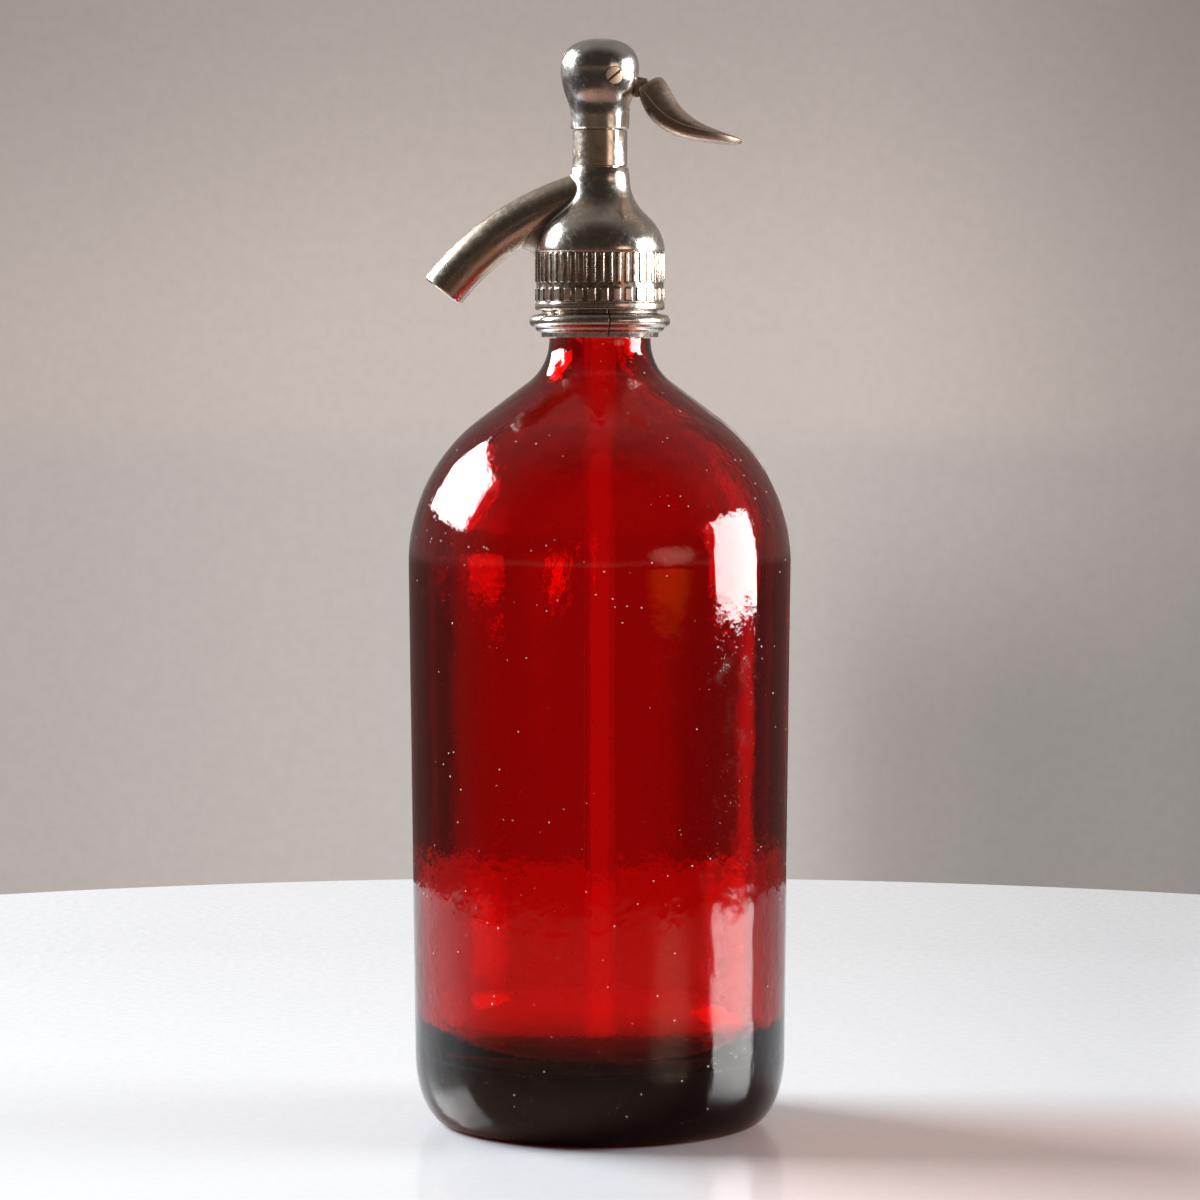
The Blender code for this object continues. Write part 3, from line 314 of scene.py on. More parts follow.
# Stations along the lever, as shares of its reach, drop, width, thickness and crown
LEVER_STATIONS = (
    (0, 0, 0.28, 0.10, 0.50), (0.010, 0.030, 0.36, 0.24, 0.84), (0.036, 0.097, 0.44, 0.47, 1),
    (0.082, 0.212, 0.52, 0.68, 1), (0.150, 0.376, 0.62, 0.90, 0.93), (0.239, 0.521, 0.73, 1, 0.80),
    (0.324, 0.630, 0.83, 0.99, 0.68), (0.408, 0.697, 0.90, 1, 0.55), (0.493, 0.750, 0.96, 0.96, 0.42),
    (0.582, 0.794, 0.99, 0.88, 0.30), (0.673, 0.830, 1, 0.80, 0.21), (0.771, 0.873, 0.96, 0.71, 0.145),
    (0.873, 0.920, 0.83, 0.61, 0.10), (0.951, 0.960, 0.61, 0.48, 0.07), (1, 1, 0.28, 0.26, 0.04),
)

# The lever's section, as shares of its half width, and of its crown above or its thickness below
LEDGE_SHARE = 0.93
FLANK_SHARES = (
    (-0.945, -0.03), (-0.985, -0.04), (-1, -0.11), (-1, -0.55), (-0.95, -0.95), (-0.5, -1), (0, -1),
)

# Side outlines, as shares of the stem's reach (across from the pivot) and height (up from it)
STEM_SHARES = (
    (-0.11, 0.34), (0.12, 0.42), (0.36, 0.16), (0.76, 0), (1, -0.08), (1, -0.98), (0.63, -1), (0.12, -0.42),
    (-0.11, -0.29),
)
SLOT_TOP_SHARES = ((0.12, 0.42), (0.36, 0.16), (0.76, 0))
SLOT_LOW_SHARES = ((-0.42, -0.58), (0, -0.58), (0.30, -1.36), (0.44, -1.5))

# Runs along X, Y or Z of the direction looked in, over which the surroundings change from nought to
# one, or from the third value to the fourth
LIGHT_EDGE, WALL_FALL = (-0.032, -0.017, 1.0, 0.0), (-0.010, 0.085, 1.0, 0.70)
WALL_LEFT, WALL_RIGHT = (-0.160, -0.030, 0.82, 1.0), (0.045, 0.150, 1.0, 0.62)
CORNER_FALL, CORNER_LEFT, CORNER_RIGHT = (-0.090, -0.030, 0.27, 0.0), (0.030, 0.068), (0.085, 0.130, 1.0, 0.5)
WALL_START, WALL_END, WALL_TOP = (-0.230, -0.140), (0.150, 0.170, 1.0, 0.0), (0.45, 0.80, 1.0, 0.0)
BEHIND, FRONT_TO_SIDE, SIDE_RISE = (0.30, 0.60), (-0.60, 0.30), (-0.060, -0.010)
BAND_LOW, BAND_HIGH = (-0.020, 0.004), (0.010, 0.060, 1.0, 0.0)
DOOR_LEFT, DOOR_RIGHT, DOOR_TOP = (0.132, 0.180), (0.200, 0.250, 1.0, 0.0), (0.10, 0.25)
WALL_GRAIN = (0.25, 0.75, 0.975, 1.02)

# How much darker the wall is below the edge of light, all along it and in its corner
DIM_BELOW, DIM_CORNER = 0.05, 0.07

# Azimuth, height, half width and half height of each small light, in degrees
LAMP_PLACE, AMBER_PLACE, EMBER_PLACE = (-46, 5, 17, 6), (-48, -2.8, 17, 1.3), (91.4, -3.1, 0.3, 0.5)

# Where warm light is painted onto the table, in the bottle's shadow, along X and Y in metres
PAINTED_WARM_RIGHT, PAINTED_WARM_FRONT = (0.0, 0.07), (-0.04, 0.06, 1.0, 0.0)

# The two windows: width, lower and upper end, azimuth in degrees, distance and colour
LEFT_WINDOW = (1.25, 0.53, 1.48, 157, 1.50, (0.96, 0.98, 1.0))
RIGHT_WINDOW = (2.00, -0.04, 1.36, 0, 3.20, (1.0, 0.99, 0.98))


# Modelling helpers

def select_only(*pieces):
    """Selects these objects alone; the first one is active."""
    if bpy.context.object and bpy.context.object.mode != "OBJECT":
        bpy.ops.object.mode_set(mode="OBJECT")
    bpy.ops.object.select_all(action="DESELECT")
    for piece in pieces:
        piece.select_set(True)
    if pieces:
        bpy.context.view_layer.objects.active = pieces[0]


def shares(steps):
    """Even shares from nought to one."""
    return [i / steps for i in range(steps + 1)]


def arc(centre, bend, start, end, points=13):
    """Points (radius, height) on a circle or, with bend = (across, up), on an ellipse."""
    across, up = bend if isinstance(bend, tuple) else (bend, bend)
    angles = [start + (end - start) * share for share in shares(points - 1)]
    return [(centre[0] + across * cos(a), centre[1] + up * sin(a)) for a in angles]


def added(name):
    """The object that was just added, named."""
    piece = bpy.context.object
    piece.name = piece.data.name = name
    return piece


def trace(name, outline):
    """Draws an outline of (x, z) points in the XZ plane, by extruding a vertex. Leaves edit mode on."""
    select_only()
    bpy.ops.mesh.primitive_plane_add(size=FIT)
    piece = added(name)
    bpy.ops.object.mode_set(mode="EDIT")
    bpy.ops.mesh.select_mode(type="VERT")
    bpy.ops.mesh.merge(type="CENTER")
    bpy.ops.transform.translate(value=(outline[0][0], 0, outline[0][1]))
    for (x, z), (next_x, next_z) in zip(outline, outline[1:]):
        bpy.ops.mesh.extrude_vertices_move(TRANSFORM_OT_translate={"value": (next_x - x, 0, next_z - z)})
    return piece


def clean_shell():
    """Merges doubles and turns every face outwards, in edit mode."""
    bpy.ops.mesh.select_all(action="SELECT")
    bpy.ops.mesh.remove_doubles(threshold=MERGE)
    bpy.ops.mesh.normals_make_consistent(inside=False)


def turned(name, outline, steps, closed=False):
    """Spins an outline about the upright axis. A closed one joins its last point to its first."""
    piece = trace(name, outline + outline[:1] if closed else outline)
    bpy.ops.mesh.select_all(action="SELECT")
    bpy.ops.mesh.spin(steps=steps, angle=ROUND_TURN, use_auto_merge=True, center=(0, 0, 0), axis=(0, 0, 1))
    clean_shell()
    bpy.ops.object.mode_set(mode="OBJECT")
    return piece


def plate(name, outline, half):
    """A plate of even thickness whose outline lies in the XZ plane."""
    piece = trace(name, outline)
    bpy.ops.mesh.select_all(action="SELECT")
    bpy.ops.mesh.edge_face_add()
    bpy.ops.transform.translate(value=(0, -half, 0))
    bpy.ops.mesh.extrude_region_move(TRANSFORM_OT_translate={"value": (0, 2 * half, 0)})
    clean_shell()
    bpy.ops.object.mode_set(mode="OBJECT")
    return piece


def rod_along_y(name, radius, low, high, steps=ROD_FACETS):
    """A cylinder along Y through the lever's pivot, from low to high."""
    select_only()
    bpy.ops.mesh.primitive_cylinder_add(
        vertices=steps, radius=radius, depth=high - low,
        location=(PIVOT.x, (low + high) / 2, PIVOT.z), rotation=(pi / 2, 0, 0),
    )
    return settle(added(name))


def settle(piece):
    """Puts the object's place into its mesh."""
    select_only(piece)
    bpy.ops.object.transform_apply(location=True, rotation=True, scale=True)
    return piece


def apply(piece, modifier):
    """Puts a modifier's work into the mesh."""
    select_only(piece)
    bpy.ops.object.modifier_apply(modifier=modifier.name)


def combine(piece, tool, operation):
    """Joins or cuts with a tool, which is used up."""
    change = piece.modifiers.new(operation.title(), "BOOLEAN")
    change.operation = operation
    change.solver = "EXACT"
    change.object = tool
    apply(piece, change)
    bpy.data.objects.remove(tool)


def soften(piece, width, segments=2, angle=radians(40)):
    """Rounds the sharp edges a little."""
    bevel = piece.modifiers.new("Soft Edges", "BEVEL")
    bevel.width = width
    bevel.segments = segments
    bevel.limit_method = "ANGLE"
    bevel.angle_limit = angle
    apply(piece, bevel)


def smooth(piece, angle=radians(35)):
    """Shades smooth, apart from edges sharper than the angle."""
    select_only(piece)
    bpy.ops.object.shade_smooth_by_angle(angle=angle)


def coat(piece, material):
    """Gives a piece this material alone."""
    piece.data.materials.clear()
    piece.data.materials.append(material)


def hand_over(piece, material, body, slot, *nodes):
    """Gives a finished piece its material, its body and the node that it stands for."""
    coat(piece, material)
    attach(piece, body)
    if nodes:
        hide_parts(*nodes)


# Material helpers

class Graph:
    """A node tree that is built a step at a time from one set of coordinates."""

    def __init__(self, tree, coordinates):
        self.tree = tree
        self.coordinates = tree.nodes.new("ShaderNodeTexCoord").outputs[coordinates]

    def join(self, source, socket):
        """Links a socket, or sets a number or colour."""
        if isinstance(source, bpy.types.NodeSocket):
            self.tree.links.new(source, socket)
        elif isinstance(source, (int, float)):
            socket.default_value = source
        else:
            socket.default_value = (*source, 1.0)[:len(socket.default_value)]

    def node(self, kind, **sources):
        """Adds a node and joins a source to each input that is named."""
        node = self.tree.nodes.new("ShaderNode" + kind)
        for name, source in sources.items():
            self.join(source, node.inputs[name.replace("_", " ")])
        return node

    def places(self, stretch):
        """The coordinates, stretched along each axis."""
        return self.node("Mapping", Vector=self.coordinates, Scale=stretch).outputs["Vector"]

    def noise(self, scale, detail=4.0, roughness=0.55, stretch=(1, 1, 1), distortion=0.0):
        """A cloudy pattern around one half."""
        return self.node(
            "TexNoise", Vector=self.places(stretch), Scale=scale, Detail=detail, Roughness=roughness,
            Distortion=distortion,
        ).outputs["Fac"]

    def cells(self, scale):
        """Distance to the nearest of many scattered points."""
        return self.node("TexVoronoi", Vector=self.places((1, 1, 1)), Scale=scale).outputs["Distance"]

    def spread(self, source, low, high, to_low=0.0, to_high=1.0):
        """Maps a range of values onto another, smoothly and clamped."""
        node = self.node("MapRange", Value=source, From_Min=low, From_Max=high, To_Min=to_low, To_Max=to_high)
        node.interpolation_type = "SMOOTHSTEP"
        return node.outputs["Result"]

    def math(self, operation, first, *others):
        """Works through the values from left to right."""
        for other in others:
            node = self.tree.nodes.new("ShaderNodeMath")
            node.operation = operation
            self.join(first, node.inputs[0])
            self.join(other, node.inputs[1])
            first = node.outputs["Value"]
        return first

    def times(self, *values):
        return self.math("MULTIPLY", *values)

    def plus(self, *values):
        return self.math("ADD", *values)

    def rest_of(self, value):
        """What is left of one."""
        return self.math("SUBTRACT", 1.0, value)

    def squares(self, *values):
        """The sum of the squares."""
        return self.plus(*(self.times(value, value) for value in values))

    def blend(self, factor, first, second):
        """A colour between two, by a factor."""
        node = self.tree.nodes.new("ShaderNodeMix")
        node.data_type = "RGBA"
        for source, socket in zip((factor, first, second), (node.inputs["Factor"], *node.inputs[6:8])):
            self.join(source, socket)
        return node.outputs[2]

    def axes(self):
        """The X, Y and Z of the coordinates."""
        return self.node("SeparateXYZ", Vector=self.coordinates).outputs[:]


class Finish(Graph):
    """A node material on Object coordinates."""

    def __init__(self, name, **uniform):
        self.material = bpy.data.materials.new(name)
        self.material.use_nodes = True
        super().__init__(self.material.node_tree, "Object")
        self.shader = self.tree.nodes["Principled BSDF"]
        for name, value in uniform.items():
            self.join(value, self.shader.inputs[name.replace("_", " ")])

    def relief(self, height, distance, **below):
        """A bump of a real height in metres, laid over the Normal of another one if given."""
        return self.node("Bump", Strength=1.0, Distance=distance, Height=height, **below).outputs["Normal"]

    def put(self, socket, source):
        """Links a source to the shader."""
        self.tree.links.new(source, self.shader.inputs[socket])


def ruby_glass():
    """Thick ruby glass: tint by depth, a slightly wavy and pitted skin, dust specks and rubbed marks."""
    sizes = bpy.context.scene.siphon_glass
    finish = Finish("Ruby Glass", Transmission_Weight=1.0, IOR=1.46, Base_Color=(1.0, 0.93, 0.93))
    absorption = finish.node("VolumeAbsorption", Color=sizes.tint, Density=sizes.density)
    finish.join(absorption.outputs["Volume"], finish.tree.nodes["Material Output"].inputs["Volume"])

    z = finish.axes()[2]
    shoulder = finish.spread(z, sizes.shoulder_start, sizes.shoulder_start + sizes.neck_bend, 0.15, 1.0)
    foot = finish.spread(z, sizes.base + sizes.inner_corner, sizes.base + 6 * sizes.inner_corner, 0.8, 0.15)
    drawn = finish.math("MAXIMUM", shoulder, foot)
    waves = finish.noise(scale=30, detail=2, stretch=(1, 1, 0.6))
    ripple = finish.times(finish.noise(scale=150, detail=4, stretch=(1, 1, 0.7)), drawn)
    pits = finish.spread(finish.cells(scale=650), 0.03, 0.12)
    skin = finish.relief(waves, distance=0.00022)
    skin = finish.relief(ripple, distance=0.00026, Normal=skin)
    finish.put("Normal", finish.relief(pits, distance=0.000014, Normal=skin))
    rubbed = finish.noise(scale=140, detail=6, roughness=0.7)
    finish.put("Roughness", finish.spread(rubbed, 0.50, 0.72, 0.015, 0.13))
    specks = finish.spread(finish.cells(scale=300), 0.055, 0.095, 1.0, 0.0)
    rare = finish.spread(finish.noise(scale=95, detail=3), 0.50, 0.56)
    finish.put("Transmission Weight", finish.rest_of(finish.times(specks, rare, 0.8)))
    return finish.material


def limed_glass_painted_glow():
    """Drawn glass tube with faint lines along it. Its faint emission is a painted glow that brightens the
    tube.
    """
    finish = Finish(
        # The emission is a painted glow: the tube gives off faint light though it is no lamp
        "Limed Tube Glass", Transmission_Weight=1.0, IOR=1.025, Emission_Color=(1.0, 0.92, 0.86),
        Emission_Strength=0.055,
    )
    lines = finish.noise(scale=900, detail=2, stretch=(1, 1, 0.02))
    finish.put("Normal", finish.relief(lines, distance=0.00002))
    film = finish.noise(scale=60, detail=4, stretch=(1, 1, 0.3))
    finish.put("Roughness", finish.spread(film, 0.3, 0.7, 0.10, 0.25))
    finish.put("Base Color", finish.blend(film, (1.0, 1.0, 1.0), (0.97, 0.98, 0.97)))
    return finish.material


def worn_nickel(name, brushed=(1, 1, 1)):
    """Old nickel plate: clouded colour, brown tarnish spots, pits, fine scratches and an uneven shine."""
    bright, dull, tarnish, wear, low, high = PLATES[name]
    finish = Finish(name, Metallic=1.0)
    clouds = finish.noise(scale=75, detail=5, roughness=0.6)
    mottle = finish.noise(scale=520, detail=5, roughness=0.65)
    spots = finish.noise(scale=210, detail=6, roughness=0.75, distortion=0.4)
    base = finish.blend(finish.spread(clouds, 0.36, 0.66), bright, dull)
    base = finish.blend(finish.spread(spots, 0.62 - 0.1 * wear, 0.80 - 0.1 * wear), base, tarnish)
    through = finish.spread(finish.noise(scale=330, detail=3), 0.66 - 0.03 * wear, 0.72 - 0.03 * wear)
    base = finish.blend(through, base, BARE_BRASS)
    rare = finish.spread(finish.noise(scale=160, detail=2), 0.46, 0.58)
    pits = finish.times(finish.spread(finish.cells(scale=820), 0.02, 0.12, 1.0, 0.0), rare)
    finish.put("Base Color", finish.blend(pits, base, tuple(PIT_SHADE * value for value in tarnish)))

    scratches = finish.noise(scale=1500, detail=3, stretch=brushed)
    finish.put("Roughness", finish.plus(
        finish.spread(clouds, 0.3, 0.7, low, high), finish.spread(mottle, 0.40, 0.75, -0.03, 0.10),
        finish.spread(scratches, 0.5, 0.8, 0.0, 0.06),
    ))

    skin = finish.relief(finish.noise(scale=110, detail=2), distance=0.00004)
    skin = finish.relief(mottle, distance=0.000004, Normal=skin)
    skin = finish.relief(scratches, distance=0.000002, Normal=skin)
    finish.put("Normal", finish.relief(finish.rest_of(pits), distance=0.00002, Normal=skin))
    return finish


def head_nickel():
    """Nickel of the bell: the sunk ground of its ornament holds dark tarnish."""
    sizes = bpy.context.scene.siphon_head
    finish = worn_nickel("Head Nickel")
    x, y, z = finish.axes()
    out = finish.math("POWER", finish.squares(x, y), 0.5)
    sunk = finish.spread(out, HEAD_HIGH.x - sizes.relief, HEAD_HIGH.x - 0.3 * sizes.relief, 1.0, 0.0)
    above = finish.spread(z, sizes.stud_low - sizes.relief, sizes.stud_low)
    below = finish.spread(z, sizes.flute_high, sizes.flute_high + sizes.relief, 1.0, 0.0)
    worn = finish.spread(finish.noise(scale=300, detail=4), 0.25, 0.60, 0.2, 0.75)
    dirt = finish.times(sunk, above, below, worn)
    colour = finish.shader.inputs["Base Color"].links[0].from_socket
    finish.put("Base Color", finish.blend(dirt, colour, GROUND_DIRT))
    return finish.material


def plain_metal(name, bright, dull, roughness, brushed=(1, 1, 1)):
    """Turned or drawn metal of the works inside."""
    finish = Finish(name, Metallic=1.0)
    clouds = finish.noise(scale=160, detail=4)
    lines = finish.noise(scale=1400, detail=2, stretch=brushed)
    finish.put("Base Color", finish.blend(finish.spread(clouds, 0.35, 0.65), bright, dull))
    finish.put("Roughness", finish.spread(clouds, 0.3, 0.7, roughness - 0.06, roughness + 0.1))
    finish.put("Normal", finish.relief(lines, distance=0.000015))
    return finish.material


def matte(name, light, dark, roughness, grain, height):
    """Rubber, fibre or leather: a grained, uneven matt skin."""
    finish = Finish(name)
    clouds = finish.noise(grain, detail=6, roughness=0.7)
    finish.put("Base Color", finish.blend(finish.spread(clouds, 0.35, 0.65), dark, light))
    finish.put("Roughness", finish.spread(clouds, 0.3, 0.7, roughness - 0.08, roughness + 0.08))
    finish.put("Normal", finish.relief(clouds, height))
    return finish.material


# Outlines that follow from the sizes

def glass_outline(sizes):
    """Half outline of the bottle: foot, shoulder, neck, mouth, and back down inside."""
    body = BOTTLE_TOP.x
    lean = pi / 2 - sizes.shoulder_slope
    bend = sizes.shoulder_bend
    shoulder_end = sizes.shoulder_start + bend * sin(lean)
    run = (body - bend * (1 - cos(lean))) - (sizes.neck_radius + sizes.neck_bend * (1 - cos(lean)))
    neck_base = shoulder_end + run * tan(sizes.shoulder_slope) + sizes.neck_bend * sin(lean)
    groove_radius = sizes.neck_radius - sizes.groove_depth
    top = BOTTLE_TOP.z
    bead_low = top - sizes.bead_height
    groove_low = bead_low - sizes.groove_height
    bore = sizes.neck_radius - sizes.wall
    corner = (sizes.foot_corner_width, sizes.foot_corner_height)
    kick = [(sizes.kick_radius * share, sizes.kick_height * (1 - share**2)) for share in shares(12)]
    foot = arc((sizes.foot_radius - corner[0], corner[1]), corner, -pi / 2, 0, points=25)
    shoulder_centre = (body - bend, sizes.shoulder_start)
    neck_centre = (sizes.neck_radius + sizes.neck_bend, neck_base)
    lip = sizes.lip_round
    inner_corner = sizes.inner_corner
    corner_centre = (sizes.foot_radius - sizes.wall - inner_corner, sizes.base + inner_corner)
    return [
        *kick, *foot,
        *arc(shoulder_centre, bend, 0, lean, points=33),
        *arc(neck_centre, sizes.neck_bend, pi + lean, pi, points=17),
        (sizes.neck_radius, groove_low), (groove_radius, groove_low),
        (groove_radius, bead_low), (sizes.neck_radius, bead_low),
        *arc((sizes.neck_radius - lip, top - lip), lip, 0, pi / 2, points=7),
        *arc((bore + lip, top - lip), lip, pi / 2, pi, points=7),
        *arc(neck_centre, sizes.neck_bend + sizes.wall, pi, pi + lean, points=17),
        *arc(shoulder_centre, bend - sizes.wall, lean, 0, points=29),
        *arc(corner_centre, inner_corner, 0, -pi / 2, points=17),
        (0, sizes.base),
    ]


def bell_outline(sizes):
    """Outer line of the head casting from its skirt to its top, without the rim."""
    skirt = HEAD_HIGH.x
    bell_start = HEAD_LOW.z + sizes.skirt_height
    slope = sizes.bell_slope
    neck_height = HEAD_HIGH.z - sizes.neck_land
    return [
        *arc((skirt - sizes.bell_bend, bell_start), sizes.bell_bend, 0, slope, points=21),
        *arc((sizes.neck_radius + sizes.neck_bend, neck_height), sizes.neck_bend, pi + slope, pi, points=21),
        (sizes.top_radius, HEAD_HIGH.z),
    ]


def ball_outline(sizes, grow=0.0):
    """Outer line of the ball and its stem, bottom to top, grown by a little."""
    centre = BALL_LOW.z + sizes.rise
    radius = sizes.radius + grow
    slope = sizes.radius * sin(sizes.blend) / (sizes.lower_height * cos(sizes.blend))
    lean = sqrt(1 + slope**2)
    fillet = (sizes.radius * cos(sizes.blend) - sizes.stem_radius) / (1 - 1 / lean)
    fillet_height = centre - sizes.lower_height * sin(sizes.blend) - fillet * slope / lean
    stem = [
        (sizes.stem_radius + fillet * (1 - cos(a)) + grow, fillet_height + fillet * sin(a))
        for a in [atan(slope) * share for share in shares(14)[:-1]]
    ]
    waist = arc((0, centre), (radius, sizes.lower_height + grow), -sizes.blend, 0, points=17)
    square = sizes.crown_share
    crown = [
        (radius * cos(a) ** square, centre + (sizes.top_height + grow) * sin(a) ** square)
        for a in [CROWN_END * share for share in shares(30)[1:]]
    ]
    return stem + waist + crown + [(0, centre + sizes.top_height + grow)]


def beside_pivot(places, sizes):
    """Points (x, z) from shares of the lever stem's reach and height, counted from the pivot."""
    return [(PIVOT.x + across * sizes.stem_reach, PIVOT.z + up * sizes.stem_height) for across, up in places]


def spout_point(sizes, angle, out=0.0):
    """A point on the spout's arc, at an angle from its top, and so far outside the centre line."""
    reach = sizes.bend + out
    low = HEAD_HIGH.z - sizes.axis_drop - sizes.bend
    return Vector((sizes.bend_offset - reach * sin(angle), 0, low + reach * cos(angle)))


class SIPHON_OT_bottle(bpy.types.Operator):
    """Blow the glass bottle, with its thick foot and grooved mouth"""

    bl_idname = "siphon.bottle"
    bl_label = "Glass Bottle"

    def execute(self, context):
        sizes = context.scene.siphon_glass
        bottle = turned("bottle_glass", glass_outline(sizes), sizes.steps)
        smooth(bottle)
        hand_over(bottle, ruby_glass(), "vessel", "ruby_glass", "glass_bottle")
        return {"FINISHED"}


class SIPHON_OT_dip_tube(bpy.types.Operator):
    """Draw the glass dip tube that hangs inside the bottle"""

    bl_idname = "siphon.dip_tube"
    bl_label = "Dip Tube"

    wall: length_of("Wall", "Wall of the dip tube", 0.00175)

    def execute(self, context):
        outer = TUBE_HIGH.x
        inner = outer - self.wall
        outline = [(inner, TUBE_LOW.z), (outer, TUBE_LOW.z), (outer, TUBE_HIGH.z), (inner, TUBE_HIGH.z)]
        tube = turned("tube_glass", outline, TUBE_FACETS, closed=True)
        soften(tube, self.wall / 4)
        smooth(tube)
        hand_over(tube, limed_glass_painted_glow(), "vessel", "clear_glass", "dip_tube")
        return {"FINISHED"}


class SIPHON_OT_collar(bpy.types.Operator):
    """Turn the collar with its bead and cove, and split it in two halves"""

    bl_idname = "siphon.collar"
    bl_label = "Split Collar"

    lip_width: length_of("Lip Width", "Width of the bottom lip", 0.0040)
    lip_height: length_of("Lip Height", "Height of the bottom lip", 0.0014)
    bead_reach: length_of("Bead Reach", "Reach of the bead", 0.0076)
    bead_rise: length_of("Bead Rise", "Height of the bead's middle", 0.0048)
    bead_width: length_of("Bead Width", "How far the bead rounds out", 0.0018)
    bead_half: length_of("Bead Half Height", "Half the bead's height", 0.0019)
    shoulder: length_of("Shoulder", "Height of the bead's shoulder", 0.0071)
    flange: length_of("Flange", "Height of the inner flange", 0.0036)
    sleeve_wall: length_of("Sleeve Wall", "Wall of the thread", 0.0017)
    recess: length_of("Recess", "Thread's end below the mouth", 0.0017)
    split: angle_of("Split", "Turn of the split", 8)

    def execute(self, context):
        glass = context.scene.siphon_glass
        low = COLLAR_LOW.z
        inner = glass.neck_radius - glass.groove_depth + FIT
        sleeve_inner = glass.neck_radius + FIT
        sleeve_outer = sleeve_inner + self.sleeve_wall
        top = BOTTLE_TOP.z - self.recess
        lip = inner + self.lip_width
        bead = (inner + self.bead_reach - self.bead_width, low + self.bead_rise)
        cove_low, cove_high = low + self.lip_height, bead[1] - self.bead_half
        outline = [
            (inner, low), (lip, low),
            *arc((lip, cove_high), (bead[0] - lip, cove_high - cove_low), -pi / 2, 0, points=9),
            *arc(bead, (self.bead_width, self.bead_half), radians(-80), radians(95), points=19),
            (sleeve_outer, low + self.shoulder), (sleeve_outer, top), (sleeve_inner, top),
            (sleeve_inner, low + self.flange), (inner, low + self.flange),
        ]
        nickel = worn_nickel("Collar Nickel").material
        for way, name, node in (
            (1, "collar_lever_side", "collar_half_lever_side"),
            (-1, "collar_spout_side", "collar_half_spout_side"),
        ):
            half = turned(name, outline, context.scene.siphon_head.steps, closed=True)
            away = Vector((cos(self.split), sin(self.split), 0)) * way
            select_only(half)
            bpy.ops.object.mode_set(mode="EDIT")
            bpy.ops.mesh.select_all(action="SELECT")
            bpy.ops.mesh.bisect(plane_co=away * FIT / 2, plane_no=away, use_fill=True, clear_inner=True)
            clean_shell()
            bpy.ops.object.mode_set(mode="OBJECT")
            soften(half, FIT / 2)
            smooth(half)
            hand_over(half, nickel, "vessel", "collar_nickel", node)
        return {"FINISHED"}


class SIPHON_OT_head(bpy.types.Operator):
    """Cast the bell-shaped head, with a band of flutes and a row of studs"""

    bl_idname = "siphon.head"
    bl_label = "Head Casting"

    chamber: length_of("Chamber", "Radius of the valve chamber", 0.0057)
    ceiling: length_of("Ceiling", "Height of the ceiling", 0.01011)
    spigot: length_of("Spigot", "Depth of the sleeve's socket", 0.0042)
    socket_wall: length_of("Socket", "Radius of the sleeve's socket", 0.0069)

    def raise_row(self, piece, sizes, low, high, pattern):
        """Raises groups of faces between two heights. The pattern says which of each group stand out."""
        mesh = piece.data
        select_only(piece)
        bpy.ops.object.mode_set(mode="EDIT")
        bpy.ops.mesh.select_mode(type="FACE")
        bpy.ops.mesh.select_all(action="DESELECT")
        bpy.ops.object.mode_set(mode="OBJECT")
        for face in mesh.polygons:
            x, y, z = face.center
            turn = int((atan2(y, x) % ROUND_TURN) / ROUND_TURN * sizes.steps)
            outside = hypot(x, y) > HEAD_HIGH.x - 2 * sizes.relief
            face.select = low < z < high and outside and pattern[turn % len(pattern)]
        bpy.ops.object.mode_set(mode="EDIT")
        bpy.ops.mesh.inset(thickness=sizes.relief / 2, depth=sizes.relief)
        bpy.ops.mesh.inset(thickness=sizes.relief / 2, depth=0)
        bpy.ops.object.mode_set(mode="OBJECT")

    def execute(self, context):
        sizes = context.scene.siphon_head
        skirt = HEAD_HIGH.x
        low, top = HEAD_LOW.z, HEAD_HIGH.z
        inner = skirt - sizes.skirt_wall
        ground = skirt - sizes.relief
        ceiling = low + self.ceiling
        step = sizes.relief
        rows = [
            (skirt, sizes.stud_low - 2 * step), (ground, sizes.stud_low - step), (ground, sizes.stud_low),
            (ground, sizes.stud_high), (ground, sizes.flute_low), (ground, sizes.flute_high),
            (ground, sizes.flute_high + step),
        ]
        floor = top - self.spigot - FIT
        outline = [
            (inner, ceiling), (inner, low), (skirt - sizes.rim_bevel, low), (skirt, low + sizes.rim_bevel),
            *rows, *bell_outline(sizes), (self.socket_wall, top), (self.socket_wall, floor),
            (self.chamber, floor), (self.chamber, ceiling),
        ]
        head = turned("bell_head", outline, sizes.steps, closed=True)
        self.raise_row(head, sizes, sizes.flute_low, sizes.flute_high, FLUTE_PATTERN)
        self.raise_row(head, sizes, sizes.stud_low, sizes.stud_high, STUD_PATTERN)
        soften(head, step / 3, angle=radians(30))
        smooth(head)
        hand_over(head, head_nickel(), "vessel", "head_nickel", "head_casting")
        return {"FINISHED"}


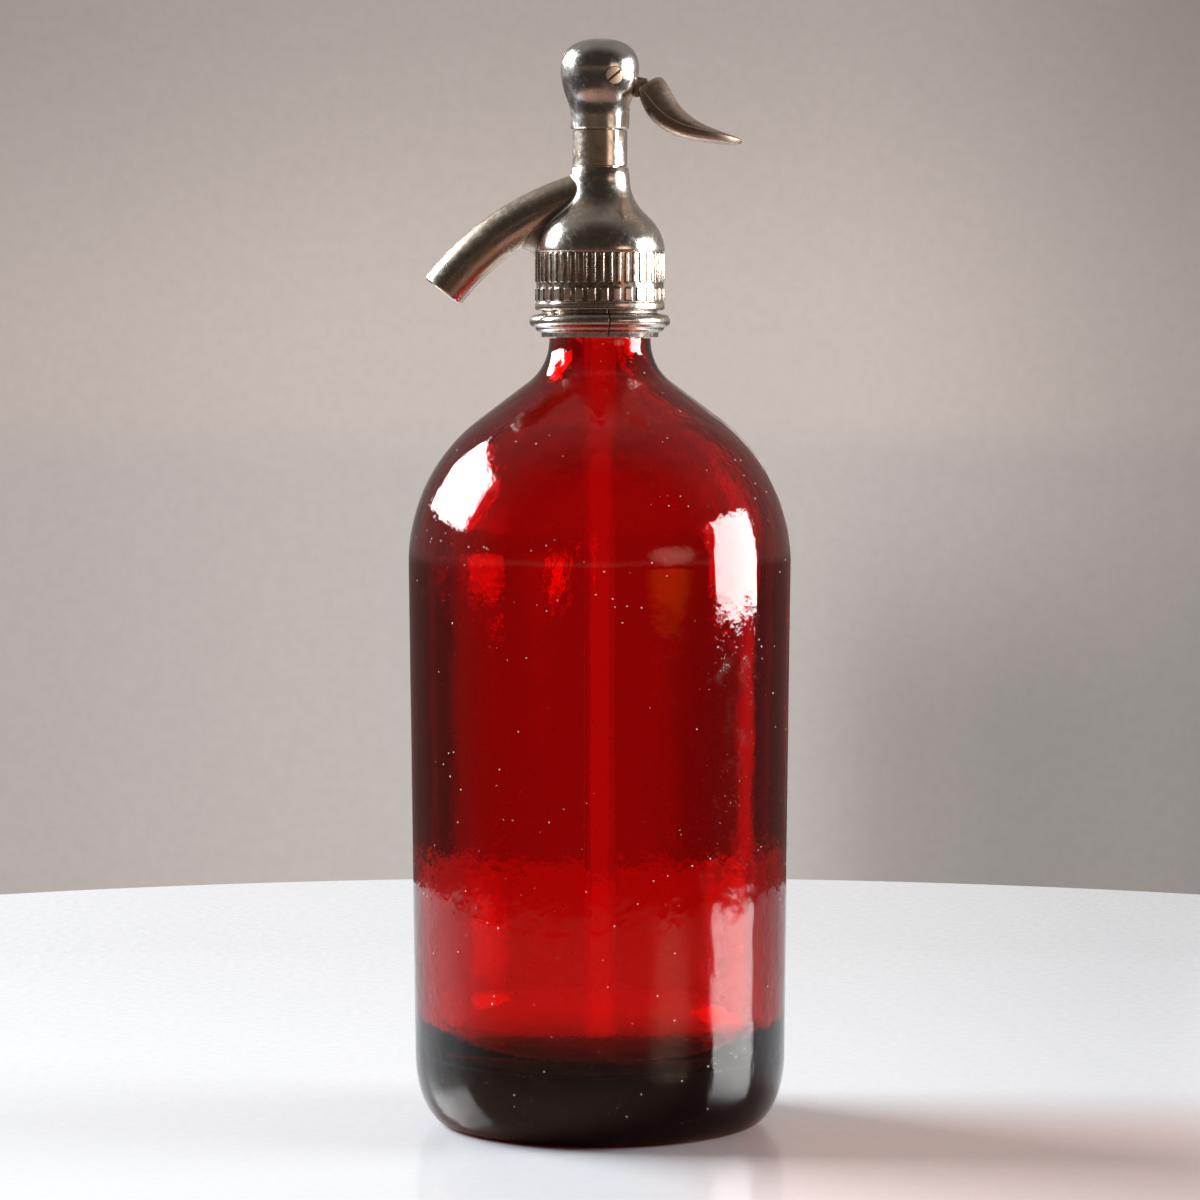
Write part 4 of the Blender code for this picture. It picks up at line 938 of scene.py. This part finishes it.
class SIPHON_OT_spout(bpy.types.Operator):
    """Bend the spout tube, fit its root to the bell and run solder round it"""

    bl_idname = "siphon.spout"
    bl_label = "Spout"

    def pick_tip(self, piece, sizes):
        """Selects the outer edge of the tip. Leaves edit mode on."""
        along = Vector((-cos(sizes.tip_angle), 0, -sin(sizes.tip_angle)))
        middle = spout_point(sizes, sizes.tip_angle)
        inside = sizes.radius - sizes.wall / 2
        bpy.ops.object.mode_set(mode="EDIT")
        bpy.ops.mesh.select_mode(type="EDGE")
        bpy.ops.mesh.select_all(action="DESELECT")
        mesh = bmesh.from_edit_mesh(piece.data)
        for edge in mesh.edges:
            offsets = [corner.co - middle for corner in edge.verts]
            edge.select_set(all(abs(o.dot(along)) < FIT / 10 and o.length > inside for o in offsets))
        bmesh.update_edit_mesh(piece.data)

    def tube(self, sizes):
        """The bent tube, spun from two rings that are bridged at both ends."""
        root, tip = sizes.root_angle, sizes.tip_angle
        facing = (0, atan2(-cos(root), -sin(root)), 0)
        ring = {"vertices": SPOUT_FACETS, "location": spout_point(sizes, root), "rotation": facing}
        select_only()
        bpy.ops.mesh.primitive_circle_add(radius=sizes.radius, **ring)
        piece = settle(added("spout"))
        bpy.ops.object.mode_set(mode="EDIT")
        bpy.ops.mesh.primitive_circle_add(radius=sizes.radius - sizes.wall, **ring)
        bpy.ops.mesh.select_all(action="SELECT")
        bpy.ops.mesh.bridge_edge_loops()
        bpy.ops.mesh.select_all(action="SELECT")
        middle = spout_point(sizes, 0, -sizes.bend)
        bpy.ops.mesh.spin(steps=SPOUT_STEPS, angle=tip - root, center=middle, axis=(0, 1, 0))
        clean_shell()
        self.pick_tip(piece, sizes)
        bpy.ops.mesh.bevel(offset=sizes.tip_round, segments=SPOUT_ROUNDING)
        bpy.ops.object.mode_set(mode="OBJECT")
        return piece

    def solder(self, sizes, head):
        """A fillet rolled round the root, as wide in the crotch as solder runs there."""
        outline = [Vector((HEAD_HIGH.x, 0, HEAD_LOW.z)), *(Vector((r, 0, z)) for r, z in bell_outline(head))]

        def off_head(point):
            """Distance to the bell's surface, and the direction away from it."""
            flat = Vector((hypot(point.x, point.y), 0, point.z))
            gaps = []
            for low, high in zip(outline, outline[1:]):
                run = high - low
                share = min(max((flat - low).dot(run) / run.length_squared, 0), 1)
                gaps.append((flat - low - run * share, Vector((run.z, 0, -run.x)).normalized()))
            gap, away = min(gaps, key=lambda pair: pair[0].length)
            turn = atan2(point.y, point.x)
            return gap.dot(away), Vector((away.x * cos(turn), away.x * sin(turn), away.z))

        def rolled(angle, side, size):
            """Centre of the fillet's circle beside the tube, and the spoke that it lies on."""
            middle = spout_point(sizes, angle)
            outward = (middle - spout_point(sizes, angle, -sizes.bend)).normalized()
            spoke = outward * cos(side) + Vector((0, 1, 0)) * sin(side)
            return middle + spoke * (sizes.radius + size), spoke

        rings = []
        for turned_by in shares(SOLDER_RINGS)[:-1]:
            side = ROUND_TURN * turned_by
            crotch = (0.5 - 0.5 * cos(side)) ** SOLDER_GROWTH
            size = sizes.solder_top + (sizes.solder_crotch - sizes.solder_top) * crotch
            low, high = sizes.root_angle / 2, sizes.tip_angle
            for _ in range(SOLDER_ROUNDS):
                middle = (low + high) / 2
                if off_head(rolled(middle, side, size)[0])[0] < size:
                    low = middle
                else:
                    high = middle
            centre, spoke = rolled(low, side, size)
            distance, away = off_head(centre)
            start, end = -spoke * size, -away * distance
            span = start.angle(end)
            fillet = [
                centre + (start * sin(span * (1 - t)) + end * sin(span * t)) / sin(span)
                for t in shares(SOLDER_STEPS)
            ]
            root = centre + (start + end) / 2 - (spoke + away) * FIT * 2
            rings.append([centre + start - spoke * FIT, *fillet, centre + end - away * FIT, root])
        builder = bmesh.new()
        loops = [[builder.verts.new(point) for point in ring] for ring in rings]
        for first, second in zip(loops, loops[1:] + loops[:1]):
            for i in range(len(first)):
                builder.faces.new((first[i - 1], first[i], second[i], second[i - 1]))
        bmesh.ops.recalc_face_normals(builder, faces=builder.faces)
        if builder.calc_volume(signed=True) < 0:
            bmesh.ops.reverse_faces(builder, faces=builder.faces)
        mesh = bpy.data.meshes.new("spout_solder")
        builder.to_mesh(mesh)
        builder.free()
        piece = bpy.data.objects.new("spout_solder", mesh)
        bpy.context.scene.collection.objects.link(piece)
        return piece

    def execute(self, context):
        sizes = context.scene.siphon_spout
        head = context.scene.siphon_head
        spout = self.tube(sizes)
        outline = [(0, HEAD_LOW.z), (HEAD_HIGH.x, HEAD_LOW.z), *bell_outline(head), (0, HEAD_HIGH.z)]
        core = turned("bell_core", outline, head.steps)
        combine(spout, core, "DIFFERENCE")
        smooth(spout)
        hand_over(spout, worn_nickel("Spout Nickel").material, "vessel", "spout_nickel", "spout_tube")
        solder = self.solder(sizes, head)
        smooth(solder)
        # The solder's dark plate is partly dull solder, partly painted shade in the crotch between spout and
        # bell
        hand_over(solder, worn_nickel("Dull Solder").material, "vessel", "head_nickel")
        return {"FINISHED"}


class SIPHON_OT_sleeve(bpy.types.Operator):
    """Turn the stem sleeve between head and ball"""

    bl_idname = "siphon.sleeve"
    bl_label = "Stem Sleeve"

    spigot_wall: length_of("Spigot Wall", "Wall of the spigots", 0.0013)
    web: length_of("Web", "Thickness of the web under the gland", 0.0024)
    rod_hole: length_of("Rod Hole", "Hole for the piston rod", 0.0024)

    def execute(self, context):
        sizes = context.scene.siphon_head
        spigot = sizes.gland_bore + self.spigot_wall
        low, high = SLEEVE_LOW.z, SLEEVE_HIGH.z
        band_low = HEAD_HIGH.z + FIT
        band_high = band_low + sizes.sleeve_band
        bevel = sizes.sleeve_bevel
        radius = sizes.sleeve_radius
        outline = [
            (self.rod_hole, low), (spigot, low), (spigot, band_low), (radius - bevel, band_low),
            (radius, band_low + bevel), (radius, band_high - bevel), (radius - bevel, band_high),
            (spigot, band_high), (spigot, high), (sizes.gland_bore, high),
            (sizes.gland_bore, low + self.web), (self.rod_hole, low + self.web),
        ]
        sleeve = turned("sleeve", outline, sizes.steps, closed=True)
        smooth(sleeve)
        nickel = worn_nickel("Sleeve Nickel", brushed=(0.2, 0.2, 4)).material
        hand_over(sleeve, nickel, "vessel", "head_nickel", "stem_sleeve")
        return {"FINISHED"}


class SIPHON_OT_ball(bpy.types.Operator):
    """Cast the ball, slot it for the lever and fit its pivot screw"""

    bl_idname = "siphon.ball"
    bl_label = "Ball and Pivot Screw"

    socket: length_of("Socket", "Radius of the sleeve's socket", 0.0069)
    rod_hole: length_of("Rod Hole", "Hole for the piston rod", 0.0024)
    rim_bevel: length_of("Rim Bevel", "Bevel at the lower rim", 0.0004)
    slot_clearance: length_of("Slot Clearance", "Gap over the lever's stem", 0.0005)

    def execute(self, context):
        sizes = context.scene.siphon_ball
        lever = context.scene.siphon_lever
        low, top = BALL_LOW.z, BALL_HIGH.z
        stop = low + sizes.spring_pocket
        bore = context.scene.siphon_head.gland_bore
        reach = sizes.radius + OVERRUN
        outline = [
            (0, top - sizes.crown_wall), (self.rod_hole, top - sizes.crown_wall), (self.rod_hole, stop),
            (bore, stop), (bore, SLEEVE_HIGH.z + FIT), (self.socket, SLEEVE_HIGH.z + FIT), (self.socket, low),
            (sizes.stem_radius - self.rim_bevel, low), (sizes.stem_radius, low + self.rim_bevel),
            *ball_outline(sizes),
        ]
        ball = turned("ball", outline, sizes.steps)
        above = [(x, z + self.slot_clearance) for x, z in beside_pivot(SLOT_TOP_SHARES, lever)]
        below = beside_pivot(SLOT_LOW_SHARES, lever)
        slot = below + [(reach, below[-1][1]), (reach, above[-1][1]), *reversed(above), (0, above[0][1])]
        combine(ball, plate("lever_slot", slot, lever.stem_half + lever.side_play), "DIFFERENCE")
        face = sqrt(sizes.radius**2 - PIVOT.x**2)
        shelf = sizes.screw_head_depth - face
        combine(ball, rod_along_y("screw_hole", sizes.pin_radius + sizes.play, -reach, reach), "DIFFERENCE")
        seat = rod_along_y("head_hole", sizes.screw_radius + sizes.play, -reach, shelf + FIT, SCREW_FACETS)
        combine(ball, seat, "DIFFERENCE")
        smooth(ball, radians(30))
        hand_over(ball, worn_nickel("Ball Nickel").material, "vessel", "ball_nickel", "ball_cap")

        screw = rod_along_y("screw", sizes.screw_radius, -reach, shelf, SCREW_FACETS)
        combine(screw, rod_along_y("shank", sizes.pin_radius, shelf - FIT, reach), "UNION")
        skin = turned("ball_skin", [(0, low), *ball_outline(sizes, sizes.screw_proud)], sizes.steps)
        combine(screw, skin, "INTERSECT")
        select_only()
        bpy.ops.mesh.primitive_cube_add(
            size=1, location=(PIVOT.x, -face, PIVOT.z), rotation=(0, -sizes.slot_turn, 0),
        )
        driver = bpy.context.object
        driver.scale = (2 * reach, 2 * sizes.slot_depth, sizes.slot_width)
        settle(driver)
        combine(screw, driver, "DIFFERENCE")
        soften(screw, sizes.play / 2)
        smooth(screw, radians(30))
        hand_over(screw, plain_metal("Screw Steel", *SCREW_STEEL), "vessel", "screw_steel", "pivot_screw")
        return {"FINISHED"}


class SIPHON_OT_lever(bpy.types.Operator):
    """Shape the horn-like thumb lever with its stem, ear and tongue"""

    bl_idname = "siphon.lever"
    bl_label = "Thumb Lever"

    def blade(self, sizes):
        """Extrudes one rounded section along the spine, widening, thinning and turning it."""
        start = PIVOT + Vector((sizes.start, 0, -sizes.start_drop))
        spine = [start + Vector((sizes.reach * row[0], 0, -sizes.drop * row[1])) for row in LEVER_STATIONS]
        last = len(spine) - 1
        arch = arc((0, 0), (LEDGE_SHARE, 1), 0, pi)
        section = [*arch, *FLANK_SHARES, *((-x, z) for x, z in reversed(FLANK_SHARES[:-1]))]
        rings = []
        for i, (_, _, width, thick, crown) in enumerate(LEVER_STATIONS):
            forward = (spine[min(i + 1, last)] - spine[max(i - 1, 0)]).normalized()
            up = Vector((-forward.z, 0, forward.x))
            half, rise, fall = sizes.half_width * width, sizes.crown * crown, sizes.thickness * thick
            rings.append([
                spine[i] + Vector((0, half * x, 0)) + up * ((rise if z > 0 else fall) * z) for x, z in section
            ])
        select_only()
        bpy.ops.mesh.primitive_circle_add(vertices=len(section), radius=sizes.crown, fill_type="NGON")
        piece = added("thumb_lever")
        bpy.ops.object.mode_set(mode="EDIT")
        for i, ring in enumerate(rings):
            if i:
                bpy.ops.mesh.extrude_region_move()
            mesh = bmesh.from_edit_mesh(piece.data)
            cap = next(face for face in mesh.faces if face.select)
            for corner, point in zip([loop.vert for loop in cap.loops], ring):
                corner.co = point
            bmesh.update_edit_mesh(piece.data)
        clean_shell()
        bpy.ops.object.mode_set(mode="OBJECT")
        return piece

    def execute(self, context):
        sizes = context.scene.siphon_lever
        ball = context.scene.siphon_ball
        lever = self.blade(sizes)
        surface = lever.modifiers.new("Round", "SUBSURF")
        surface.levels = surface.render_levels = 2
        apply(lever, surface)
        stem = plate("stem", beside_pivot(STEM_SHARES, sizes), sizes.stem_half)
        soften(stem, sizes.stem_half / 5)
        combine(lever, stem, "UNION")
        combine(lever, rod_along_y("ear", sizes.ear_radius, -sizes.tongue_half, sizes.tongue_half), "UNION")
        nose = (PIVOT.x - sizes.tongue_reach + sizes.tongue_nose, PIVOT.z)
        tongue = [(PIVOT.x, PIVOT.z - sizes.tongue_nose), (PIVOT.x, PIVOT.z + sizes.tongue_nose)]
        tongue += arc(nose, sizes.tongue_nose, pi / 2, 3 * pi / 2)
        combine(lever, plate("tongue", tongue, sizes.tongue_half), "UNION")
        reach = sizes.stem_half + OVERRUN
        combine(lever, rod_along_y("pivot_hole", ball.pin_radius + ball.play, -reach, reach), "DIFFERENCE")
        smooth(lever, radians(40))
        hand_over(lever, worn_nickel("Lever Nickel").material, "thumb_lever", "lever_metal", "lever")
        return {"FINISHED"}


class SIPHON_OT_works(bpy.types.Operator):
    """Give the pieces inside their brass, steel, rubber, fibre and leather"""

    bl_idname = "siphon.works"
    bl_label = "Inner Works"

    def spring(self, steel):
        """The coil under the ball, which the rising piston shortens."""
        height = SPRING_HIGH.z - SPRING_LOW.z
        select_only()
        bpy.ops.mesh.primitive_circle_add(
            vertices=SPRING_FACETS, radius=SPRING_WIRE, rotation=(pi / 2, 0, 0),
            location=(SPRING_HIGH.x - SPRING_WIRE, 0, SPRING_LOW.z + SPRING_WIRE),
        )
        coil = settle(added("coil_spring"))
        turns = coil.modifiers.new("Turns", "SCREW")
        turns.screw_offset = (height - 2 * SPRING_WIRE) / SPRING_TURNS
        turns.iterations = SPRING_TURNS
        turns.steps = turns.render_steps = SPRING_STEPS
        turns.use_merge_vertices = False
        apply(coil, turns)
        bpy.ops.object.mode_set(mode="EDIT")
        bpy.ops.mesh.select_all(action="SELECT")
        bpy.ops.mesh.fill_holes(sides=0)
        clean_shell()
        bpy.ops.object.mode_set(mode="OBJECT")
        smooth(coil, radians(40))
        hand_over(coil, steel, "vessel", "spring_steel", "return_spring")
        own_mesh(coil)

    def execute(self, context):
        finishes = {name: plain_metal(name, *values) for name, values in METALS.items()}
        finishes.update({name: matte(name, *values) for name, values in MATTES.items()})
        for name, nodes in INNER_NODES.items():
            for node in nodes:
                coat(frame["nodes"][node], finishes[name])
        self.spring(finishes["Spring Steel"])
        return {"FINISHED"}


class SIPHON_OT_stage(bpy.types.Operator):
    """Set the pale round table, the wall and windows, and the camera"""

    bl_idname = "siphon.stage"
    bl_label = "Stage"

    def table(self, sizes):
        """The lacquered table. Only reflections see the painted shade in front, a dark colour that stands in
        for the dim room there.
        """
        select_only()
        bpy.ops.mesh.primitive_cylinder_add(
            vertices=TABLE_FACETS, radius=sizes.table_radius, depth=sizes.table_thickness,
            location=(0, sizes.table_offset, -sizes.table_thickness / 2 - sizes.table_gap),
        )
        table = settle(added("round_table"))
        soften(table, sizes.table_thickness / 5, segments=4)
        smooth(table)
        finish = Finish("White Lacquer", Coat_Weight=0.35, Coat_Roughness=0.06)
        x, y, _ = finish.axes()
        bearing = finish.math("DIVIDE", y, finish.math("POWER", finish.squares(x, y), 0.5))
        # Painted shade: the table in front is painted darker for glossy reflection rays alone
        painted_shade = finish.spread(bearing, -sizes.painted_shade_front, sizes.painted_shade_back, 1.0, 0.0)
        ray = finish.node("LightPath").outputs
        painted_shade = finish.times(painted_shade, finish.times(ray["Is Glossy Ray"], ray["Is Reflection Ray"]))
        # Painted light: the table is tinted warm at the right in front, where the bottle's shadow takes the
        # room's warm light
        warm = finish.times(finish.spread(x, *PAINTED_WARM_RIGHT), finish.spread(y, *PAINTED_WARM_FRONT))
        top = finish.blend(warm, sizes.table_colour, sizes.painted_warm_light_colour)
        finish.put("Base Color", finish.blend(painted_shade, top, sizes.painted_shade_colour))
        finish.put("Roughness", finish.spread(finish.noise(scale=300, detail=4), 0.3, 0.7, 0.20, 0.24))
        coat(table, finish.material)

    def window(self, name, power, width, low, high, azimuth, distance, colour):
        """An upright rectangle of light between two heights, at an azimuth in degrees from +X."""
        light = bpy.data.lights.new(name, "AREA")
        light.shape = "RECTANGLE"
        light.size, light.size_y = width, high - low
        light.energy = power
        light.color = colour
        lamp = bpy.data.objects.new(name, light)
        bpy.context.scene.collection.objects.link(lamp)
        away = Vector((cos(radians(azimuth)), sin(radians(azimuth)), 0))
        lamp.location = away * distance + Vector((0, 0, (low + high) / 2))
        lamp.rotation_euler = away.to_track_quat("Z", "Y").to_euler()

    def spot(self, graph, azimuth, height, half_width, half_height):
        """A soft patch of the surroundings, one in its middle and nothing outside."""
        x, y, z = graph.axes()

        def toward(angle):
            """How far the direction looked in leans towards an azimuth."""
            return graph.plus(graph.times(x, cos(angle)), graph.times(y, sin(angle)))

        across = graph.math("DIVIDE", toward(azimuth + pi / 2), sin(half_width))
        up = graph.math("DIVIDE", graph.math("SUBTRACT", z, sin(height)), sin(half_height))
        patch = graph.spread(graph.squares(across, up), 0.1, 1.0, 1.0, 0.0)
        return graph.times(patch, graph.spread(toward(azimuth), 0.0, 0.1))

    def glow(self, graph, below, factor, colour):
        """Adds light of a colour to what lies below."""
        node = graph.node("VectorMath")
        node.operation = "MULTIPLY_ADD"
        for source, socket in zip((colour, factor, below), node.inputs):
            graph.join(source, socket)
        return node.outputs["Vector"]

    def wall(self, sizes):
        """The pale wall behind, dark beside it and, for reflections, the dim warm room in front."""
        world = bpy.data.worlds.new("Pale Wall")
        bpy.context.scene.world = world
        world.use_nodes = True
        graph = Graph(world.node_tree, "Generated")
        x, y, z = graph.axes()

        lower = graph.spread(z, *LIGHT_EDGE)
        shade = graph.times(
            graph.spread(z, *WALL_FALL), graph.rest_of(graph.times(lower, DIM_BELOW)),
            graph.spread(x, *WALL_LEFT), graph.spread(x, *WALL_RIGHT),
        )
        fall = graph.plus(graph.times(lower, DIM_CORNER), graph.spread(z, *CORNER_FALL))
        corner = graph.times(fall, graph.spread(x, *CORNER_LEFT), graph.spread(x, *CORNER_RIGHT))
        grain = graph.spread(graph.noise(scale=420, detail=3), *WALL_GRAIN)
        shade = graph.times(shade, graph.rest_of(corner), grain)
        paint = graph.blend(lower, sizes.wall_colour, sizes.wall_low_colour)
        wall = graph.blend(shade, (0, 0, 0), paint)

        band = graph.times(graph.spread(z, *BAND_LOW), graph.spread(z, *BAND_HIGH))
        front = graph.blend(band, sizes.room_colour, sizes.band_colour)
        side = graph.blend(graph.spread(z, *SIDE_RISE), sizes.side_low_colour, sizes.side_colour)
        beside = graph.blend(graph.spread(y, *FRONT_TO_SIDE), front, side)
        behind = graph.spread(y, *BEHIND)
        inside = graph.times(
            graph.spread(x, *WALL_START), graph.spread(x, *WALL_END), behind, graph.spread(z, *WALL_TOP),
        )
        seen = graph.blend(inside, beside, wall)
        doorway = graph.times(
            graph.spread(x, *DOOR_LEFT), graph.spread(x, *DOOR_RIGHT), behind,
            graph.spread(z, *DOOR_TOP, sizes.doorway, 0.0),
        )
        seen = self.glow(graph, seen, doorway, sizes.door_colour)
        for strength, colour, place in (
            (sizes.lamp, sizes.lamp_colour, LAMP_PLACE),
            (sizes.amber, sizes.amber_colour, AMBER_PLACE),
            (sizes.ember, sizes.amber_colour, EMBER_PLACE),
        ):
            patch = self.spot(graph, *(radians(angle) for angle in place))
            seen = self.glow(graph, seen, graph.times(patch, strength), colour)
        graph.join(seen, graph.tree.nodes["Background"].inputs["Color"])

    def camera(self, sizes):
        """The camera that the photograph was solved for."""
        data = bpy.data.cameras.new("Camera")
        data.sensor_width = 36.0
        data.lens = sizes.focal_pixels * data.sensor_width / sizes.frame_pixels
        camera = bpy.data.objects.new("Camera", data)
        camera.location = (0, -sizes.camera_distance, sizes.camera_height)
        camera.rotation_euler = (pi / 2 - sizes.camera_tilt, 0, 0)
        bpy.context.scene.collection.objects.link(camera)
        bpy.context.scene.camera = camera

    def execute(self, context):
        sizes = context.scene.siphon_stage
        self.table(sizes)
        self.wall(sizes)
        self.camera(sizes)
        self.window("Left Window", sizes.left_window, *LEFT_WINDOW)
        self.window("Right Window", sizes.right_window, *RIGHT_WINDOW)
        context.scene.view_settings.view_transform = "Standard"
        return {"FINISHED"}


class SIPHON_PT_panel(bpy.types.Panel):
    """Sizes of the siphon and the steps that build it"""

    bl_idname = "SIPHON_PT_panel"
    bl_label = "Soda Siphon"
    bl_space_type = "VIEW_3D"
    bl_region_type = "UI"
    bl_category = "Siphon"

    def draw(self, context):
        for group in GROUPS:
            sizes = getattr(context.scene, group)
            box = self.layout.box()
            box.label(text=sizes.__doc__ or group)
            for name in sizes.__annotations__:
                box.prop(sizes, name)
        for step in STEPS:
            self.layout.operator(f"siphon.{step}")


GROUPS = {
    "siphon_glass": GlassSizes,
    "siphon_head": HeadSizes,
    "siphon_spout": SpoutSizes,
    "siphon_ball": BallSizes,
    "siphon_lever": LeverSizes,
    "siphon_stage": StageSizes,
}
STEPS = ("bottle", "dip_tube", "collar", "head", "spout", "sleeve", "ball", "lever", "works", "stage")
CLASSES = (
    *GROUPS.values(),
    SIPHON_OT_bottle, SIPHON_OT_dip_tube, SIPHON_OT_collar, SIPHON_OT_head, SIPHON_OT_spout,
    SIPHON_OT_sleeve, SIPHON_OT_ball, SIPHON_OT_lever, SIPHON_OT_works, SIPHON_OT_stage,
    SIPHON_PT_panel,
)


def register():
    """Makes the classes and the groups of sizes known to Blender."""
    for item in CLASSES:
        bpy.utils.register_class(item)
    for name, group in GROUPS.items():
        setattr(bpy.types.Scene, name, PointerProperty(type=group))


def unregister():
    """Takes them out again."""
    for name in GROUPS:
        delattr(bpy.types.Scene, name)
    for item in reversed(CLASSES):
        bpy.utils.unregister_class(item)


def main():
    """Builds every piece and the stage in order."""
    register()
    for step in STEPS:
        getattr(bpy.ops.siphon, step)()


if __name__ == "__main__":
    main()
